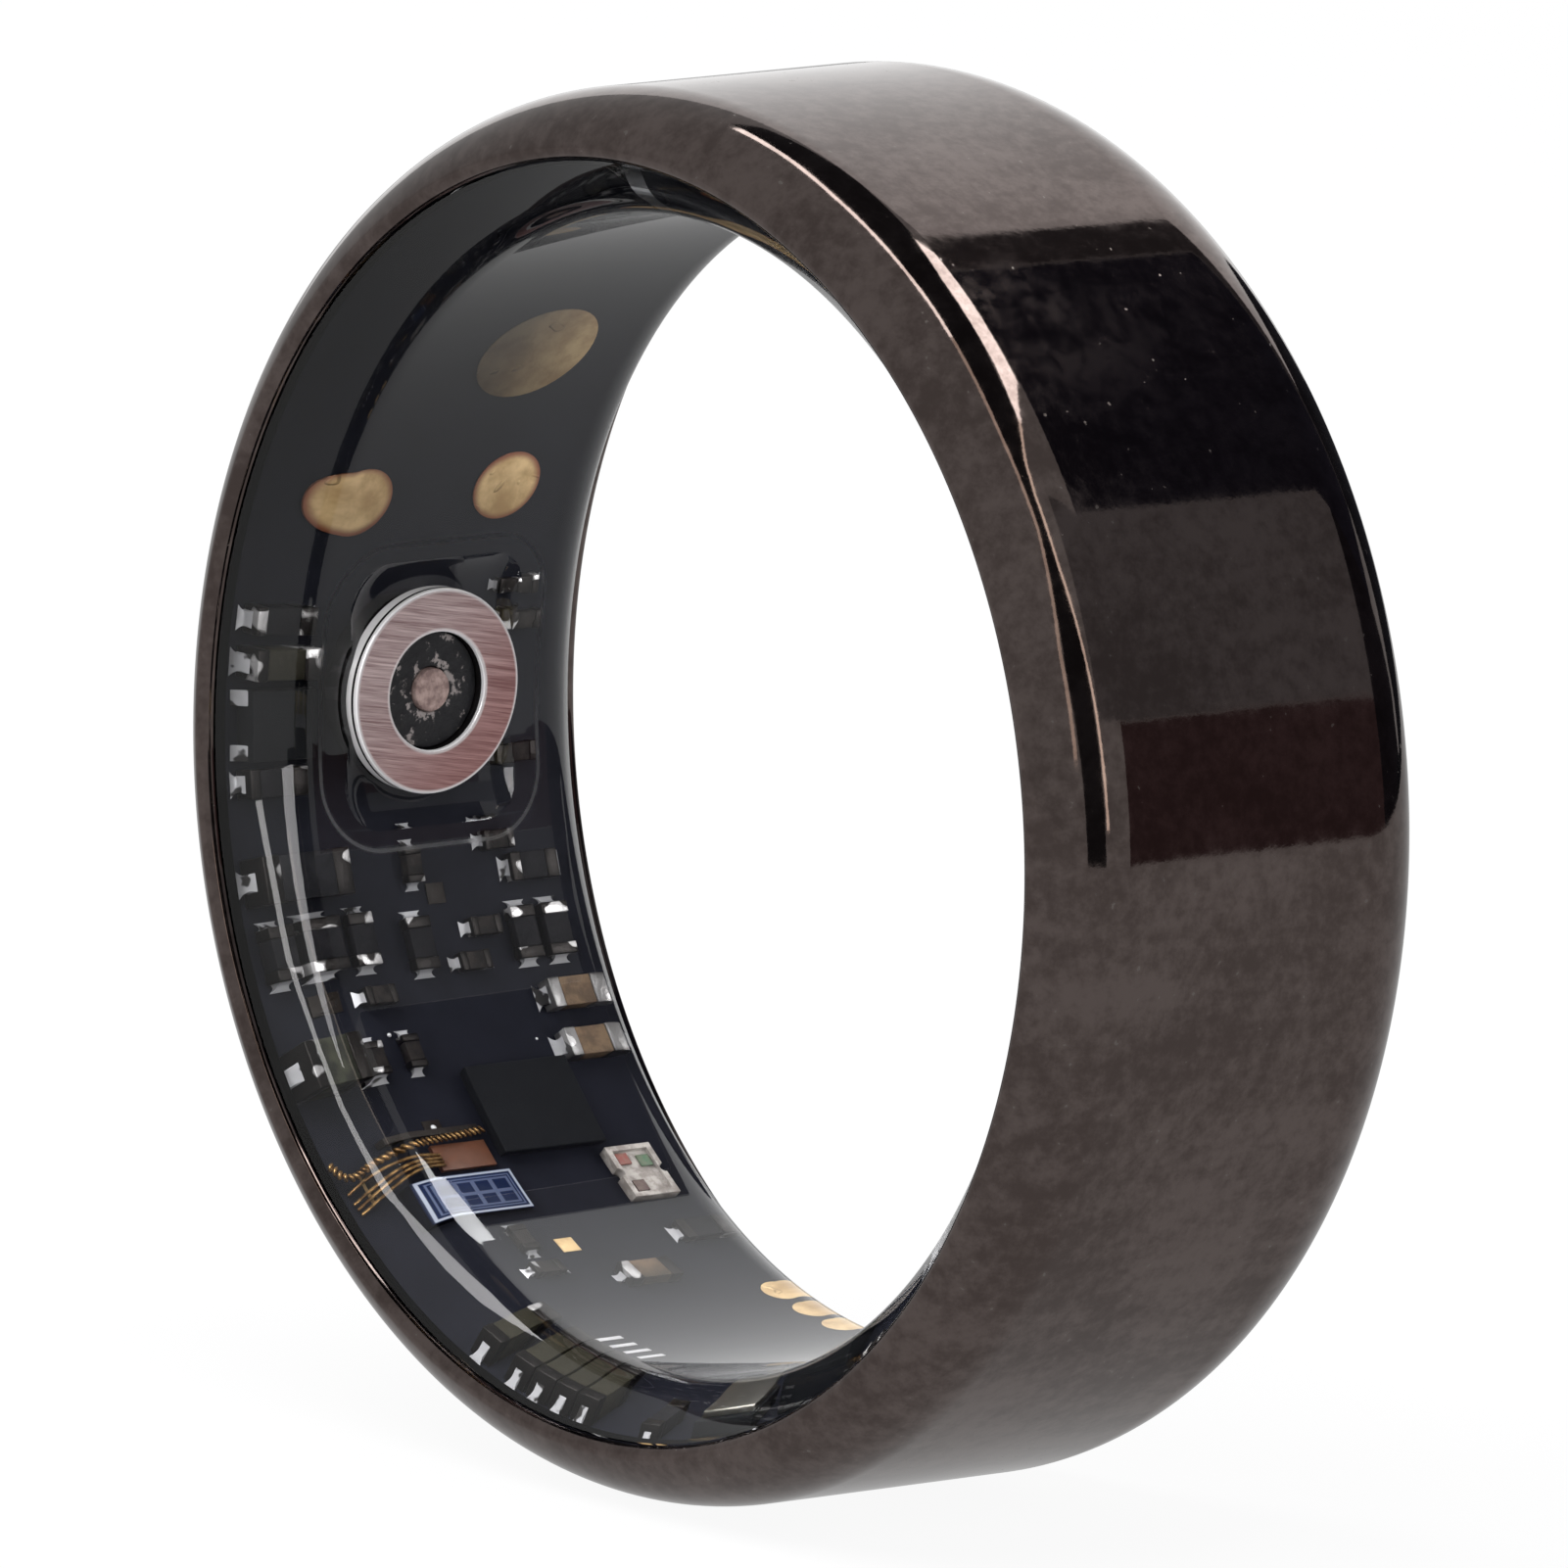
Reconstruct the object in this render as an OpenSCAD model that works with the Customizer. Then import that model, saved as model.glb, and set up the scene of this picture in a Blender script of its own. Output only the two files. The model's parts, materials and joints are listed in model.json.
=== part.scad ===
/* [Ring] */
// Diameter of the finger bore, the inside of the clear liner
bore_d = 18.2; // [16:0.1:21]
// Width of the ring along the finger
band_w = 7.6; // [7.4:0.1:8.4]
// Thickness of the metal shell at its middle
shell_t = 0.55; // [0.45:0.01:0.8]
// Thickness of the adhesive tape under the circuit board
tape_t = 0.05; // [0.03:0.01:0.1]
// Thickness of the flexible circuit board
board_t = 0.12; // [0.08:0.01:0.2]
// Thickness of the clear liner, from the bore to the circuit board
liner_t = 1.28; // [1.2:0.01:1.5]

/* [Shell edge] */
// How far the rounded edge runs in across the width
edge_axial = 1.55; // [1.4:0.05:1.8]
// How far the rounded edge would drop towards the bore
edge_radial = 1.46; // [1.3:0.02:1.6]
// Angle at which the rounded edge turns into the rim
edge_turn = 64; // [58:1:68]
// Radius of the rim, the narrow round that both sides end in
rim_r = 0.17; // [0.12:0.01:0.2]
// Thickness of the shell's side walls, beside the channel inside it
side_wall = 0.45; // [0.4:0.01:0.5]
// Round in the two corners of the channel floor
channel_corner_r = 0.12; // [0.05:0.01:0.2]

/* [Liner] */
// Width of each bevel, from the side of the ring to the straight bore
bevel_w = 1.05; // [0.9:0.05:1.3]
// Distance from the side of the ring to the edge of the bevel
bevel_set = 0.2; // [0.15:0.01:0.3]
// Round between the bore and each bevel
bore_edge_r = 1.1; // [0.6:0.05:1.2]
// Room between the liner and what it is moulded round
pot_gap = 0.02; // [0.01:0.005:0.04]

/* [Charging contact] */
// Length of the recess round the finger
recess_l = 4.9; // [4.6:0.1:5.4]
// Length of the recess along the finger
recess_w = 4.4; // [4.2:0.1:5]
// Corner radius of the recess
recess_r = 1.15; // [0.6:0.05:1.6]
// Depth of the flat recess floor below the bore
recess_depth = 0.12; // [0.05:0.01:0.2]
// Diameter of the contact ring
contact_d = 3.3; // [3:0.1:3.6]
// Hole in the contact ring
contact_hole_d = 1.9; // [1.7:0.05:2.1]
// Height of the contact face above the bore
contact_proud = 0.22; // [0.15:0.01:0.22]
// Chamfer on the contact ring's edges
contact_chamfer = 0.05; // [0.02:0.01:0.1]
// Diameter of the centre pin
pin_d = 0.7; // [0.5:0.05:0.9]
// Depth of the centre pin's face below the contact ring's
pin_drop = 0.12; // [0.05:0.01:0.2]
// Depth of the insulator's face below the contact ring's
insulator_drop = 0.2; // [0.1:0.01:0.3]
// Room between the contact's pieces
contact_gap = 0.01; // [0.005:0.005:0.03]

/* [Circuit board] */
// Gap from each side of the flexible circuit board to the channel's wall
board_side_gap = 0.05; // [0.03:0.01:0.15]
// Length of the circuit board, laid flat
board_len = 43; // [40:0.5:44]
// Share of the board that lies below the contact
board_down_share = 0.663; // [0.62:0.001:0.68]
// Room between a part's base and the board
seat_gap = 0.01; // [0.005:0.005:0.03]
// Length of a solder fillet along the board
fillet_l = 0.14; // [0.08:0.01:0.16]

/* [Battery] */
// Thickness of the curved cell
cell_t = 0.92; // [0.8:0.01:1]
// Gap from each side of the curved cell to the channel's wall
cell_side_gap = 0.35; // [0.25:0.05:0.65]
// Corner radius of the cell's section
cell_corner_r = 0.25; // [0.1:0.05:0.4]
// Thickness of the sleeve round the cell
sleeve_t = 0.03; // [0.02:0.01:0.05]
// Gap from each end of the cell to the circuit board
cell_end_gap = 1; // [0.8:0.1:2]
// Width of a battery tab
tab_w = 1; // [0.8:0.1:1.2]
// Thickness of a battery tab
tab_t = 0.08; // [0.05:0.01:0.1]

/* [Small parts] */
// Large capacitor: length
cap_l = 1; // [0.9:0.05:1.1]
// Large capacitor: width
cap_w = 0.5; // [0.4:0.02:0.52]
// Large capacitor: height
cap_h = 0.5; // [0.4:0.02:0.6]
// Small capacitor: length
mini_l = 0.6; // [0.5:0.02:0.64]
// Small capacitor: width
mini_w = 0.3; // [0.25:0.01:0.34]
// Small capacitor: height
mini_h = 0.3; // [0.25:0.01:0.34]
// Resistor: length
res_l = 0.9; // [0.8:0.02:0.92]
// Resistor: width
res_w = 0.45; // [0.4:0.01:0.5]
// Resistor: height
res_h = 0.32; // [0.25:0.01:0.4]
// Length of the metal end on a part, as a share of its length
end_share = 0.22; // [0.15:0.01:0.3]
// How far a metal end stands out from its part's body
end_proud = 0.015; // [0.005:0.005:0.03]

/* [Chips] */
// Main processor: size round the finger
cpu_w = 1.7; // [1.5:0.05:1.75]
// Main processor: size along the finger
cpu_l = 2.05; // [1.8:0.05:2.1]
// Main processor: height
cpu_h = 0.35; // [0.3:0.01:0.5]
// Charger chip: size round the finger
charger_w = 1.16; // [1:0.02:1.2]
// Charger chip: size along the finger
charger_l = 0.95; // [0.85:0.02:1]
// Charger chip: height
charger_h = 0.4; // [0.35:0.01:0.5]
// Light package: size round the finger
led_w = 1.12; // [1.05:0.01:1.16]
// Light package: size along the finger
led_l = 0.9; // [0.85:0.01:0.94]
// Light package: height
led_h = 0.36; // [0.32:0.01:0.45]
// Photodiode: size round the finger
diode_w = 0.89; // [0.8:0.01:0.94]
// Photodiode: size along the finger
diode_l = 1.75; // [1.6:0.01:1.8]
// Photodiode: height
diode_h = 0.2; // [0.15:0.01:0.25]
// Motion sensor: side of its square case
motion_w = 2; // [1.8:0.05:2.1]
// Motion sensor: height
motion_h = 0.7; // [0.6:0.01:0.75]

/* [Hidden] */

$fn = 96;
overrun = 1;
half_turn = 180;

// Widths along the finger
channel_w = band_w - 2 * side_wall;
board_w = channel_w - 2 * board_side_gap;
cell_w = channel_w - 2 * cell_side_gap;
bore_w = band_w - 2 * bevel_w;

// Radii from the finger outwards
bore_r = bore_d / 2;
face_r = bore_r + liner_t;
board_back_r = face_r + board_t;
floor_r = board_back_r + tape_t;
outer_r = floor_r + shell_t;

// The shell's rounded edge is part of an ellipse that ends in the rim's arc
edge_centre_r = outer_r - edge_radial;
rim_normal = atan2(sin(edge_turn) / edge_axial, cos(edge_turn) / edge_radial);
rim_centre_y = band_w / 2 - rim_r;
edge_centre_y = rim_centre_y + rim_r * sin(rim_normal) - edge_axial * sin(edge_turn);
rim_centre_r = edge_centre_r + edge_radial * cos(edge_turn) - rim_r * cos(rim_normal);
lip_r = rim_centre_r - rim_r;
edge_steps = 14;
rim_steps = 8;
corner_steps = 5;

// The liner's bevels
bevel_y = band_w / 2 - bevel_set;
bevel_r = lip_r - pot_gap;
bevel_slope = atan2(bevel_y - bore_w / 2, bevel_r - bore_r);
bevel_turn = half_turn / 2 - bevel_slope;
bore_edge_y = bore_w / 2 - bore_edge_r * tan(bevel_turn / 2);

// The contact's face and its seat on the curved board
contact_face_r = bore_r - contact_proud;
contact_base_r = sqrt(pow(face_r, 2) - pow(contact_d / 2, 2)) - seat_gap;
recess_floor_r = bore_r + recess_depth;

// Lengths along the board are measured from the contact, positive downwards
tape_w = channel_w - 2 * channel_corner_r - 2 * seat_gap;
board_from = -board_len * (1 - board_down_share);
board_to = board_len * board_down_share;

// The cell fills the arc between the board's two ends
cell_in_r = board_back_r - seat_gap - sleeve_t - cell_t;
cell_from_angle = arc_angle(board_to + cell_end_gap);
cell_to_angle = 2 * half_turn + arc_angle(board_from - cell_end_gap);
sleeve_set = cell_end_gap / 2;
tab_seat_l = 0.4;

// Places on the board: share of its length, share of its half width, and 1 if turned round the finger
large_capacitor_shares = [[-0.013, -0.72, 0], [0.131, 0.742, 0], [0.153, 0.736, 0], [0.2735, 0.227, 0],
    [0.294, -0.7, 0], [0.462, 0.2, 0], [0.455, 0.75, 1], [0.505, 0.7, 1], [0.6, 0.74, 0]];
small_capacitor_shares = [[0.1225, -0.388, 0], [0.0994, 0.345, 0], [0.113, 0.23, 0], [-0.036, 0.667, 0],
    [-0.021, 0.712, 0], [0.032, 0.697, 0], [0.0657, 0.515, 0], [0.072, -0.021, 1], [0.1487, -0.535, 1],
    [0.1475, -0.309, 1], [0.243, -0.28, 1], [0.262, -0.29, 0], [0.385, 0.3, 0], [0.4, 0.3, 0],
    [0.545, -0.797, 1], [0.58, -0.807, 1]];
resistor_shares = [[-0.03, -0.712, 0], [0.034, -0.727, 0], [0.0775, 0.697, 0], [0.104, 0.572, 1],
    [0.104, 0.762, 1], [0.1036, -0.067, 1], [0.1003, -0.8, 1], [0.0994, -0.604, 1], [0.0994, -0.408, 1],
    [0.25, 0.76, 0], [0.398, -0.72, 0], [0.415, 0.78, 1], [0.6, -0.36, 0], [0.615, -0.36, 0]];
round_pad_shares = [[-0.079, -0.44], [-0.08, 0.46]];
wide_pad_share = [-0.15, 0.28];
small_pad_shares = [[0.296, 0.85], [0.315, 0.87], [0.334, 0.87]];
square_pad_shares = [[0.248, -0.036], [0.084, 0.115], [0.1815, -0.36], [0.122, -0.61]];
stroke_pad_shares = [[0.318, -0.4], [0.326, -0.39], [0.334, -0.38], [0.342, -0.37]];

// A row of large capacitors side by side
row_share = [0.316, -0.7];
row_count = 4;
row_gap = 0.09;
row_pitch = cap_w + row_gap;
large_place_shares = concat(large_capacitor_shares,
    [for (i = [0:row_count - 1]) [row_share[0] + i * row_pitch / board_len, row_share[1], 0]]);

// Single parts on the board
cpu_share = [0.1787, 0.23];
charger_share = [0.0114, -0.712];
led_share = [0.2157, 0.65];
diode_share = [0.2157, -0.342];
die_share = [0.196, -0.288];
ferrite_share = [0.0716, -0.667, 0];
inductor_share = [0.1487, -0.8, 0];
crystal_share = [0.439, -0.62];
motion_share = [0.493, -0.36];
power_share = [0.53, 0.27];
antenna_share = [0.572, 0.2, 0];
protection_share = [0.615, 0.24];

ball_h = 0.12;
ball_d = 0.2;
ball_rows = 4;
ball_cols = 5;
ferrite_w = 0.75;
ferrite_l = 1.5;
ferrite_h = 0.55;
inductor_w = 0.8;
inductor_l = 1;
inductor_h = 0.75;
die_w = 0.53;
die_l = 1.08;
die_h = 0.15;
crystal_w = 1.6;
crystal_l = 1;
crystal_h = 0.3;
lid_t = 0.15;
lid_inset = 0.1;
power_w = 1.6;
power_l = 1.6;
power_h = 0.5;
antenna_w = 1;
antenna_l = 2;
antenna_h = 0.6;
protection_w = 1.2;
protection_l = 1.4;
protection_h = 0.5;
pad_t = 0.03;
round_pad_d = 1.3;
wide_pad_d = 2.2;
small_pad_d = 0.65;
square_pad_w = 0.35;
stroke_pad_w = 0.12;
stroke_pad_l = 0.5;
terminal_w = 0.26;
led_wall = 0.1;
led_well = 0.14;
led_notch_r = 0.09;
red_die_share = [-0.27, -0.22];
green_die_share = [-0.2, 0.22];
infrared_die_share = [0.27, -0.2];
led_die_w = 0.24;
led_die_h = 0.08;
wire_d = 0.04;
comb_count = 14;
comb_pitch = 0.115;
comb_reach = 0.36;
fan_count = 4;
fan_reach = 1.1;
fan_pitch = 0.12;
fan_rise = 0.14;
rail_w = 0.12;
comb_span = die_w + comb_reach * 3 / 2 + rail_w;
comb_end_y = die_l / 2 - wire_d;
fan_end_y = fan_rise - die_l / 2 - fan_reach;

// The contact's foot
flange_t = 0.25;
flange_step = 0.2;
solder_inset = 0.15;
contact_facets = 96;

// Angle at the board's face for a length along it
function arc_angle(s) = s / face_r * half_turn / PI;

// How far a flat base of this width stands off the curved board at its middle
function sag(w) = face_r - sqrt(pow(face_r, 2) - pow(w / 2, 2));

function base_z(w) = sag(w) + seat_gap;

function arc_points(cx, cy, r, from, to, steps) =
    [for (i = [0:steps]) let (t = from + (to - from) * i / steps) [cx + r * cos(t), cy + r * sin(t)]];

function mirrored(points) = [for (i = [len(points) - 1:-1:0]) [points[i][0], -points[i][1]]];

// One side of the shell's outline, from its flat middle over the edge and the rim to the lip
function shell_side() = concat(
    [for (i = [0:edge_steps - 1]) let (t = edge_turn * i / edge_steps)
        [edge_centre_r + edge_radial * cos(t), edge_centre_y + edge_axial * sin(t)]],
    arc_points(rim_centre_r, rim_centre_y, rim_r, rim_normal, half_turn, rim_steps),
    [[lip_r, channel_w / 2]],
    arc_points(floor_r - channel_corner_r, channel_w / 2 - channel_corner_r, channel_corner_r,
        half_turn / 2, 0, corner_steps));

// One side of the liner's outline, from the bore over the bevel to its back
function liner_side() = concat(
    arc_points(bore_r + bore_edge_r, bore_edge_y, bore_edge_r, half_turn, half_turn - bevel_turn,
        corner_steps),
    [[bevel_r, bevel_y], [bevel_r, channel_w / 2 - pot_gap],
        [face_r - pot_gap, channel_w / 2 - pot_gap]]);

function rounded_box(w, h, r) = concat(
    arc_points(w / 2 - r, h / 2 - r, r, 0, half_turn / 2, corner_steps),
    arc_points(r - w / 2, h / 2 - r, r, half_turn / 2, half_turn, corner_steps),
    arc_points(r - w / 2, r - h / 2, r, half_turn, half_turn * 3 / 2, corner_steps),
    arc_points(w / 2 - r, r - h / 2, r, half_turn * 3 / 2, half_turn * 2, corner_steps));

// Turns an outline of radius and width round the finger's axis
module revolve(points) rotate([90, 0, 0]) rotate_extrude($fn = contact_facets * 2) polygon(points);

// The same over part of a turn, in degrees below the contact
module revolve_part(from, to) rotate([90, 0, 0]) rotate([0, 0, half_turn + from])
    rotate_extrude(angle = to - from, $fn = contact_facets * 2) children();

// A length of curved sheet on the board's line, between two lengths along the board
module curved_sheet(from, to, r_in, r_out, w)
    revolve_part(arc_angle(from), arc_angle(to)) translate([r_in, -w / 2]) square([r_out - r_in, w]);

// Local X runs down round the finger, Y along the finger, Z from the board's face to the finger
module on_board(place)
    rotate([0, half_turn - arc_angle(place[0] * board_len), 0])
        translate([face_r, place[1] * board_w / 2, 0]) rotate([0, -90, 0]) children();

// The same place for a part that may be turned a quarter
module on_board_turned(place) on_board(place) rotate([0, 0, place[2] * 90]) children();

module block(w, l, h, z) translate([-w / 2, -l / 2, z]) cube([w, l, h]);

// The width that a part with two ends takes round the finger, fillets included
function foot(place, w, l) = place[2] == 1 ? l + 2 * fillet_l : w;

module part_body(place, w, l, h) on_board_turned(place)
    block(w, l * (1 - 2 * end_share), h, base_z(foot(place, w, l)) + end_proud);

module part_ends(place, w, l, h) on_board_turned(place)
    for (side = [-1, 1]) translate([0, side * l * (1 - end_share) / 2, 0])
        block(w + 2 * end_proud, l * end_share, h + 2 * end_proud, base_z(foot(place, w, l)));

// A wedge of solder against each end of a part
module part_fillets(place, w, l, h) on_board_turned(place)
    for (side = [0, 1]) rotate([0, 0, side * half_turn])
        translate([-w / 2, l / 2, base_z(foot(place, w, l))]) rotate([90, 0, 90])
            linear_extrude(w) polygon([[0, 0], [fillet_l, 0], [fillet_l / 3, h / 3], [0, h * 2 / 3]]);

module part_pocket(place, w, l, h) on_board_turned(place)
    block(w + 2 * (end_proud + pot_gap), l + 2 * (fillet_l + pot_gap),
        overrun + h + base_z(foot(place, w, l)) + 2 * end_proud + pot_gap, -overrun);

module chip(place, w, l, h, lift) on_board(place) block(w, l, h, base_z(w) + lift);

module chip_pocket(place, w, l, h) on_board(place)
    block(w + 2 * pot_gap, l + 2 * pot_gap, overrun + h + base_z(w) + pot_gap, -overrun);

module outer_shell() color([0.33, 0.3, 0.29])
    revolve(concat(shell_side(), mirrored(shell_side())));

module adhesive_tape() color([0.75, 0.68, 0.5])
    curved_sheet(board_from, board_from + 2 * PI * face_r - 2 * fillet_l,
        board_back_r + seat_gap / 2, floor_r - seat_gap / 2, tape_w);

module flex_board() color([0.09, 0.09, 0.11])
    curved_sheet(board_from, board_to, face_r, board_back_r, board_w);

// The recess has a flat floor square to the contact's axis
module contact_axis() rotate([0, half_turn, 0]) rotate([0, -90, 0]) children();

module recess_cut() contact_axis() translate([0, 0, -recess_floor_r])
    linear_extrude(recess_floor_r) polygon(rounded_box(recess_l, recess_w, recess_r));

module contact_cut() contact_axis() translate([0, 0, -face_r])
    cylinder(h = face_r, d = contact_d + 2 * contact_gap);

module battery_cut()
    revolve_part(cell_from_angle - arc_angle(pot_gap), cell_to_angle + arc_angle(pot_gap))
        translate([cell_in_r - sleeve_t - pot_gap, -cell_w / 2 - sleeve_t - pot_gap])
            square([cell_t + 2 * sleeve_t + overrun, cell_w + 2 * (sleeve_t + pot_gap)]);

module tab_cut() for (side = [-1, 1]) translate([0, side * cell_w / 4, 0])
    curved_sheet(board_to - tab_seat_l - pot_gap, board_to + cell_end_gap + pot_gap,
        face_r - tab_t - seat_gap - pot_gap, face_r + overrun, tab_w + 2 * pot_gap);

// The sensor's dies and wires share one pocket
module sensor_cut() on_board(die_share)
    translate([-comb_reach - wire_d - die_w / 2, -fan_reach - wire_d - die_l / 2, -overrun])
        cube([comb_reach + wire_d + die_w / 2 + fan_pitch * fan_count + rail_w,
            fan_reach + die_l + 2 * wire_d, overrun + die_h + comb_reach / 2 + sag(die_w) + 2 * wire_d]);

module pad_cut(shares, w, l) for (place = shares) on_board(place)
    block(w + 2 * pot_gap, l + 2 * pot_gap, overrun + sag(w) + pad_t + seat_gap + pot_gap, -overrun);

module resin_liner() color([0.2, 0.21, 0.25, 0.35]) difference() {
    revolve(concat(liner_side(), mirrored(liner_side())));
    recess_cut();
    contact_cut();
    battery_cut();
    tab_cut();
    for (place = large_place_shares) part_pocket(place, cap_w, cap_l, cap_h);
    for (place = small_capacitor_shares) part_pocket(place, mini_w, mini_l, mini_h);
    for (place = resistor_shares) part_pocket(place, res_w, res_l, res_h);
    part_pocket(ferrite_share, ferrite_w, ferrite_l, ferrite_h);
    part_pocket(inductor_share, inductor_w, inductor_l, inductor_h);
    chip_pocket(cpu_share, cpu_w, cpu_l, cpu_h + ball_h);
    chip_pocket(charger_share, charger_w, charger_l + 2 * fillet_l, charger_h);
    chip_pocket(led_share, led_w, led_l, led_h);
    chip_pocket(diode_share, diode_w, diode_l, diode_h);
    sensor_cut();
    chip_pocket(crystal_share, crystal_w, crystal_l, crystal_h + lid_t);
    chip_pocket(motion_share, motion_w, motion_w, motion_h);
    chip_pocket(power_share, power_w, power_l, power_h);
    part_pocket(antenna_share, antenna_w, antenna_l, antenna_h);
    chip_pocket(protection_share, protection_w, protection_l, protection_h);
    pad_cut(round_pad_shares, round_pad_d, round_pad_d);
    pad_cut([wide_pad_share], wide_pad_d, wide_pad_d);
    pad_cut(small_pad_shares, small_pad_d, small_pad_d);
    pad_cut(square_pad_shares, square_pad_w, square_pad_w);
    pad_cut(stroke_pad_shares, stroke_pad_w, stroke_pad_l);
}

module cell_section(grow) translate([cell_in_r + cell_t / 2, 0])
    polygon(rounded_box(cell_t + 2 * grow, cell_w + 2 * grow, cell_corner_r + grow));

module battery_cell() color([0.62, 0.63, 0.65])
    revolve_part(cell_from_angle, cell_to_angle) cell_section(0);

// The sleeve covers the cell all along and leaves its two ends open
module battery_sleeve() color([0.08, 0.08, 0.09])
    revolve_part(cell_from_angle + arc_angle(sleeve_set), cell_to_angle - arc_angle(sleeve_set))
        difference() {
            cell_section(sleeve_t);
            cell_section(seat_gap / 2);
        }

// Each tab lies on the board's end and reaches the end of the cell
module battery_tabs() color([0.72, 0.7, 0.66]) for (side = [-1, 1]) translate([0, side * cell_w / 4, 0])
    curved_sheet(board_to - tab_seat_l, board_to + cell_end_gap - seat_gap,
        face_r - tab_t - seat_gap, face_r - seat_gap, tab_w);

module protection_chip() color([0.07, 0.07, 0.08])
    chip(protection_share, protection_w, protection_l, protection_h, 0);

// A ring with chamfered edges on a wider foot, turned about the contact's axis
module contact_ring() color([0.72, 0.66, 0.66]) contact_axis()
    rotate_extrude($fn = contact_facets) polygon([
        [contact_hole_d / 2, -contact_base_r],
        [contact_d / 2, -contact_base_r],
        [contact_d / 2, -contact_face_r - contact_chamfer],
        [contact_d / 2 - contact_chamfer, -contact_face_r],
        [contact_hole_d / 2 + contact_chamfer, -contact_face_r],
        [contact_hole_d / 2, -contact_face_r - contact_chamfer]]);

// A stepped bush that holds the pin by its flange
module contact_insulator() color([0.05, 0.05, 0.06]) contact_axis()
    rotate_extrude($fn = contact_facets) polygon([
        [pin_d / 2 + flange_step, -contact_base_r],
        [contact_hole_d / 2 - contact_gap, -contact_base_r],
        [contact_hole_d / 2 - contact_gap, -contact_face_r - insulator_drop],
        [pin_d / 2 + contact_gap, -contact_face_r - insulator_drop],
        [pin_d / 2 + contact_gap, -contact_base_r + flange_t],
        [pin_d / 2 + flange_step, -contact_base_r + flange_t]]);

module contact_pin() color([0.7, 0.62, 0.6]) contact_axis()
    rotate_extrude($fn = contact_facets) polygon([
        [0, -contact_base_r],
        [pin_d / 2 + flange_step - contact_gap, -contact_base_r],
        [pin_d / 2 + flange_step - contact_gap, -contact_base_r + flange_t - contact_gap],
        [pin_d / 2, -contact_base_r + flange_t - contact_gap],
        [pin_d / 2, -contact_face_r - pin_drop - contact_chamfer],
        [pin_d / 2 - contact_chamfer, -contact_face_r - pin_drop],
        [0, -contact_face_r - pin_drop]]);

// Solder fills the space between the contact's flat foot and the curved board
module contact_solder() color([0.8, 0.8, 0.8]) difference() {
    contact_axis() translate([0, 0, -face_r - overrun]) difference() {
        cylinder(h = face_r + overrun - contact_base_r - seat_gap / 2,
            d = contact_d - 2 * solder_inset);
        translate([0, 0, -overrun]) cylinder(h = face_r + 3 * overrun, d = contact_hole_d);
    }
    revolve([[face_r - seat_gap / 2, -board_w / 2], [outer_r + 2 * overrun, -board_w / 2],
        [outer_r + 2 * overrun, board_w / 2], [face_r - seat_gap / 2, board_w / 2]]);
}

module main_processor() color([0.05, 0.05, 0.06]) chip(cpu_share, cpu_w, cpu_l, cpu_h, ball_h);

// Rows of solder balls between the processor and the board
module processor_balls() color([0.8, 0.8, 0.8]) on_board(cpu_share)
    for (i = [0:ball_cols - 1], j = [0:ball_rows - 1])
        translate([(j / (ball_rows - 1) - 1 / 2) * (cpu_w - 2 * ball_d),
            (i / (ball_cols - 1) - 1 / 2) * (cpu_l - 2 * ball_d), base_z(cpu_w)])
            cylinder(h = ball_h, d = ball_d, $fn = 24);

module charger_chip() color([0.06, 0.06, 0.07]) chip(charger_share, charger_w, charger_l, charger_h, 0);

module charger_terminals() color([0.85, 0.85, 0.85]) on_board(charger_share)
    for (side = [0, 1], corner = [-1, 1]) rotate([0, 0, side * half_turn])
        translate([corner * (charger_w - terminal_w) / 2 - terminal_w / 2, charger_l / 2,
            base_z(charger_w)])
            rotate([90, 0, 90]) linear_extrude(terminal_w)
                polygon([[0, 0], [fillet_l, 0], [fillet_l / 3, charger_h / 3], [0, charger_h * 2 / 3]]);

module motion_sensor() color([0.07, 0.07, 0.08]) chip(motion_share, motion_w, motion_w, motion_h, 0);

module power_chip() color([0.06, 0.06, 0.07]) chip(power_share, power_w, power_l, power_h, 0);

module chip_antenna() color([0.85, 0.85, 0.82]) part_body(antenna_share, antenna_w, antenna_l, antenna_h);

module antenna_ends() color([0.8, 0.8, 0.8]) part_ends(antenna_share, antenna_w, antenna_l, antenna_h);

module crystal_base() color([0.12, 0.12, 0.12]) chip(crystal_share, crystal_w, crystal_l, crystal_h, 0);

module crystal_lid() color([0.8, 0.78, 0.72]) on_board(crystal_share)
    block(crystal_w - 2 * lid_inset, crystal_l - 2 * lid_inset, lid_t, base_z(crystal_w) + crystal_h);

module sensor_die() color([0.45, 0.26, 0.16]) chip(die_share, die_w, die_l, die_h, 0);

module photodiode() color([0.12, 0.16, 0.36]) chip(diode_share, diode_w, diode_l, diode_h, 0);

// A wire's arc between two feet, with the rise of its middle above them
module wire_arc(reach, rise) {
    arc_r = (pow(reach / 2, 2) + pow(rise, 2)) / (2 * rise);
    half_angle = asin(reach / 2 / arc_r);
    translate([0, 0, rise - arc_r]) rotate([90, 0, 0]) rotate([0, 0, half_turn / 2 - half_angle])
        rotate_extrude(angle = 2 * half_angle, $fn = contact_facets)
            translate([arc_r, 0]) circle(d = wire_d, $fn = 16);
}

// A comb of short wires over one edge of the die and a fan of long ones off its near end
module bond_wires() color([0.85, 0.6, 0.25])
    on_board(die_share) translate([0, 0, base_z(die_w) + die_h + wire_d / 2]) {
        for (i = [0:comb_count - 1])
            translate([-die_w / 2 - comb_reach / 4, comb_end_y - i * comb_pitch, 0])
                wire_arc(comb_reach, comb_reach / 3);
        for (i = [0:fan_count - 1])
            translate([i * fan_pitch, fan_end_y + fan_reach / 2, 0])
                rotate([0, 0, 90]) wire_arc(fan_reach, fan_rise);
    }

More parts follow.
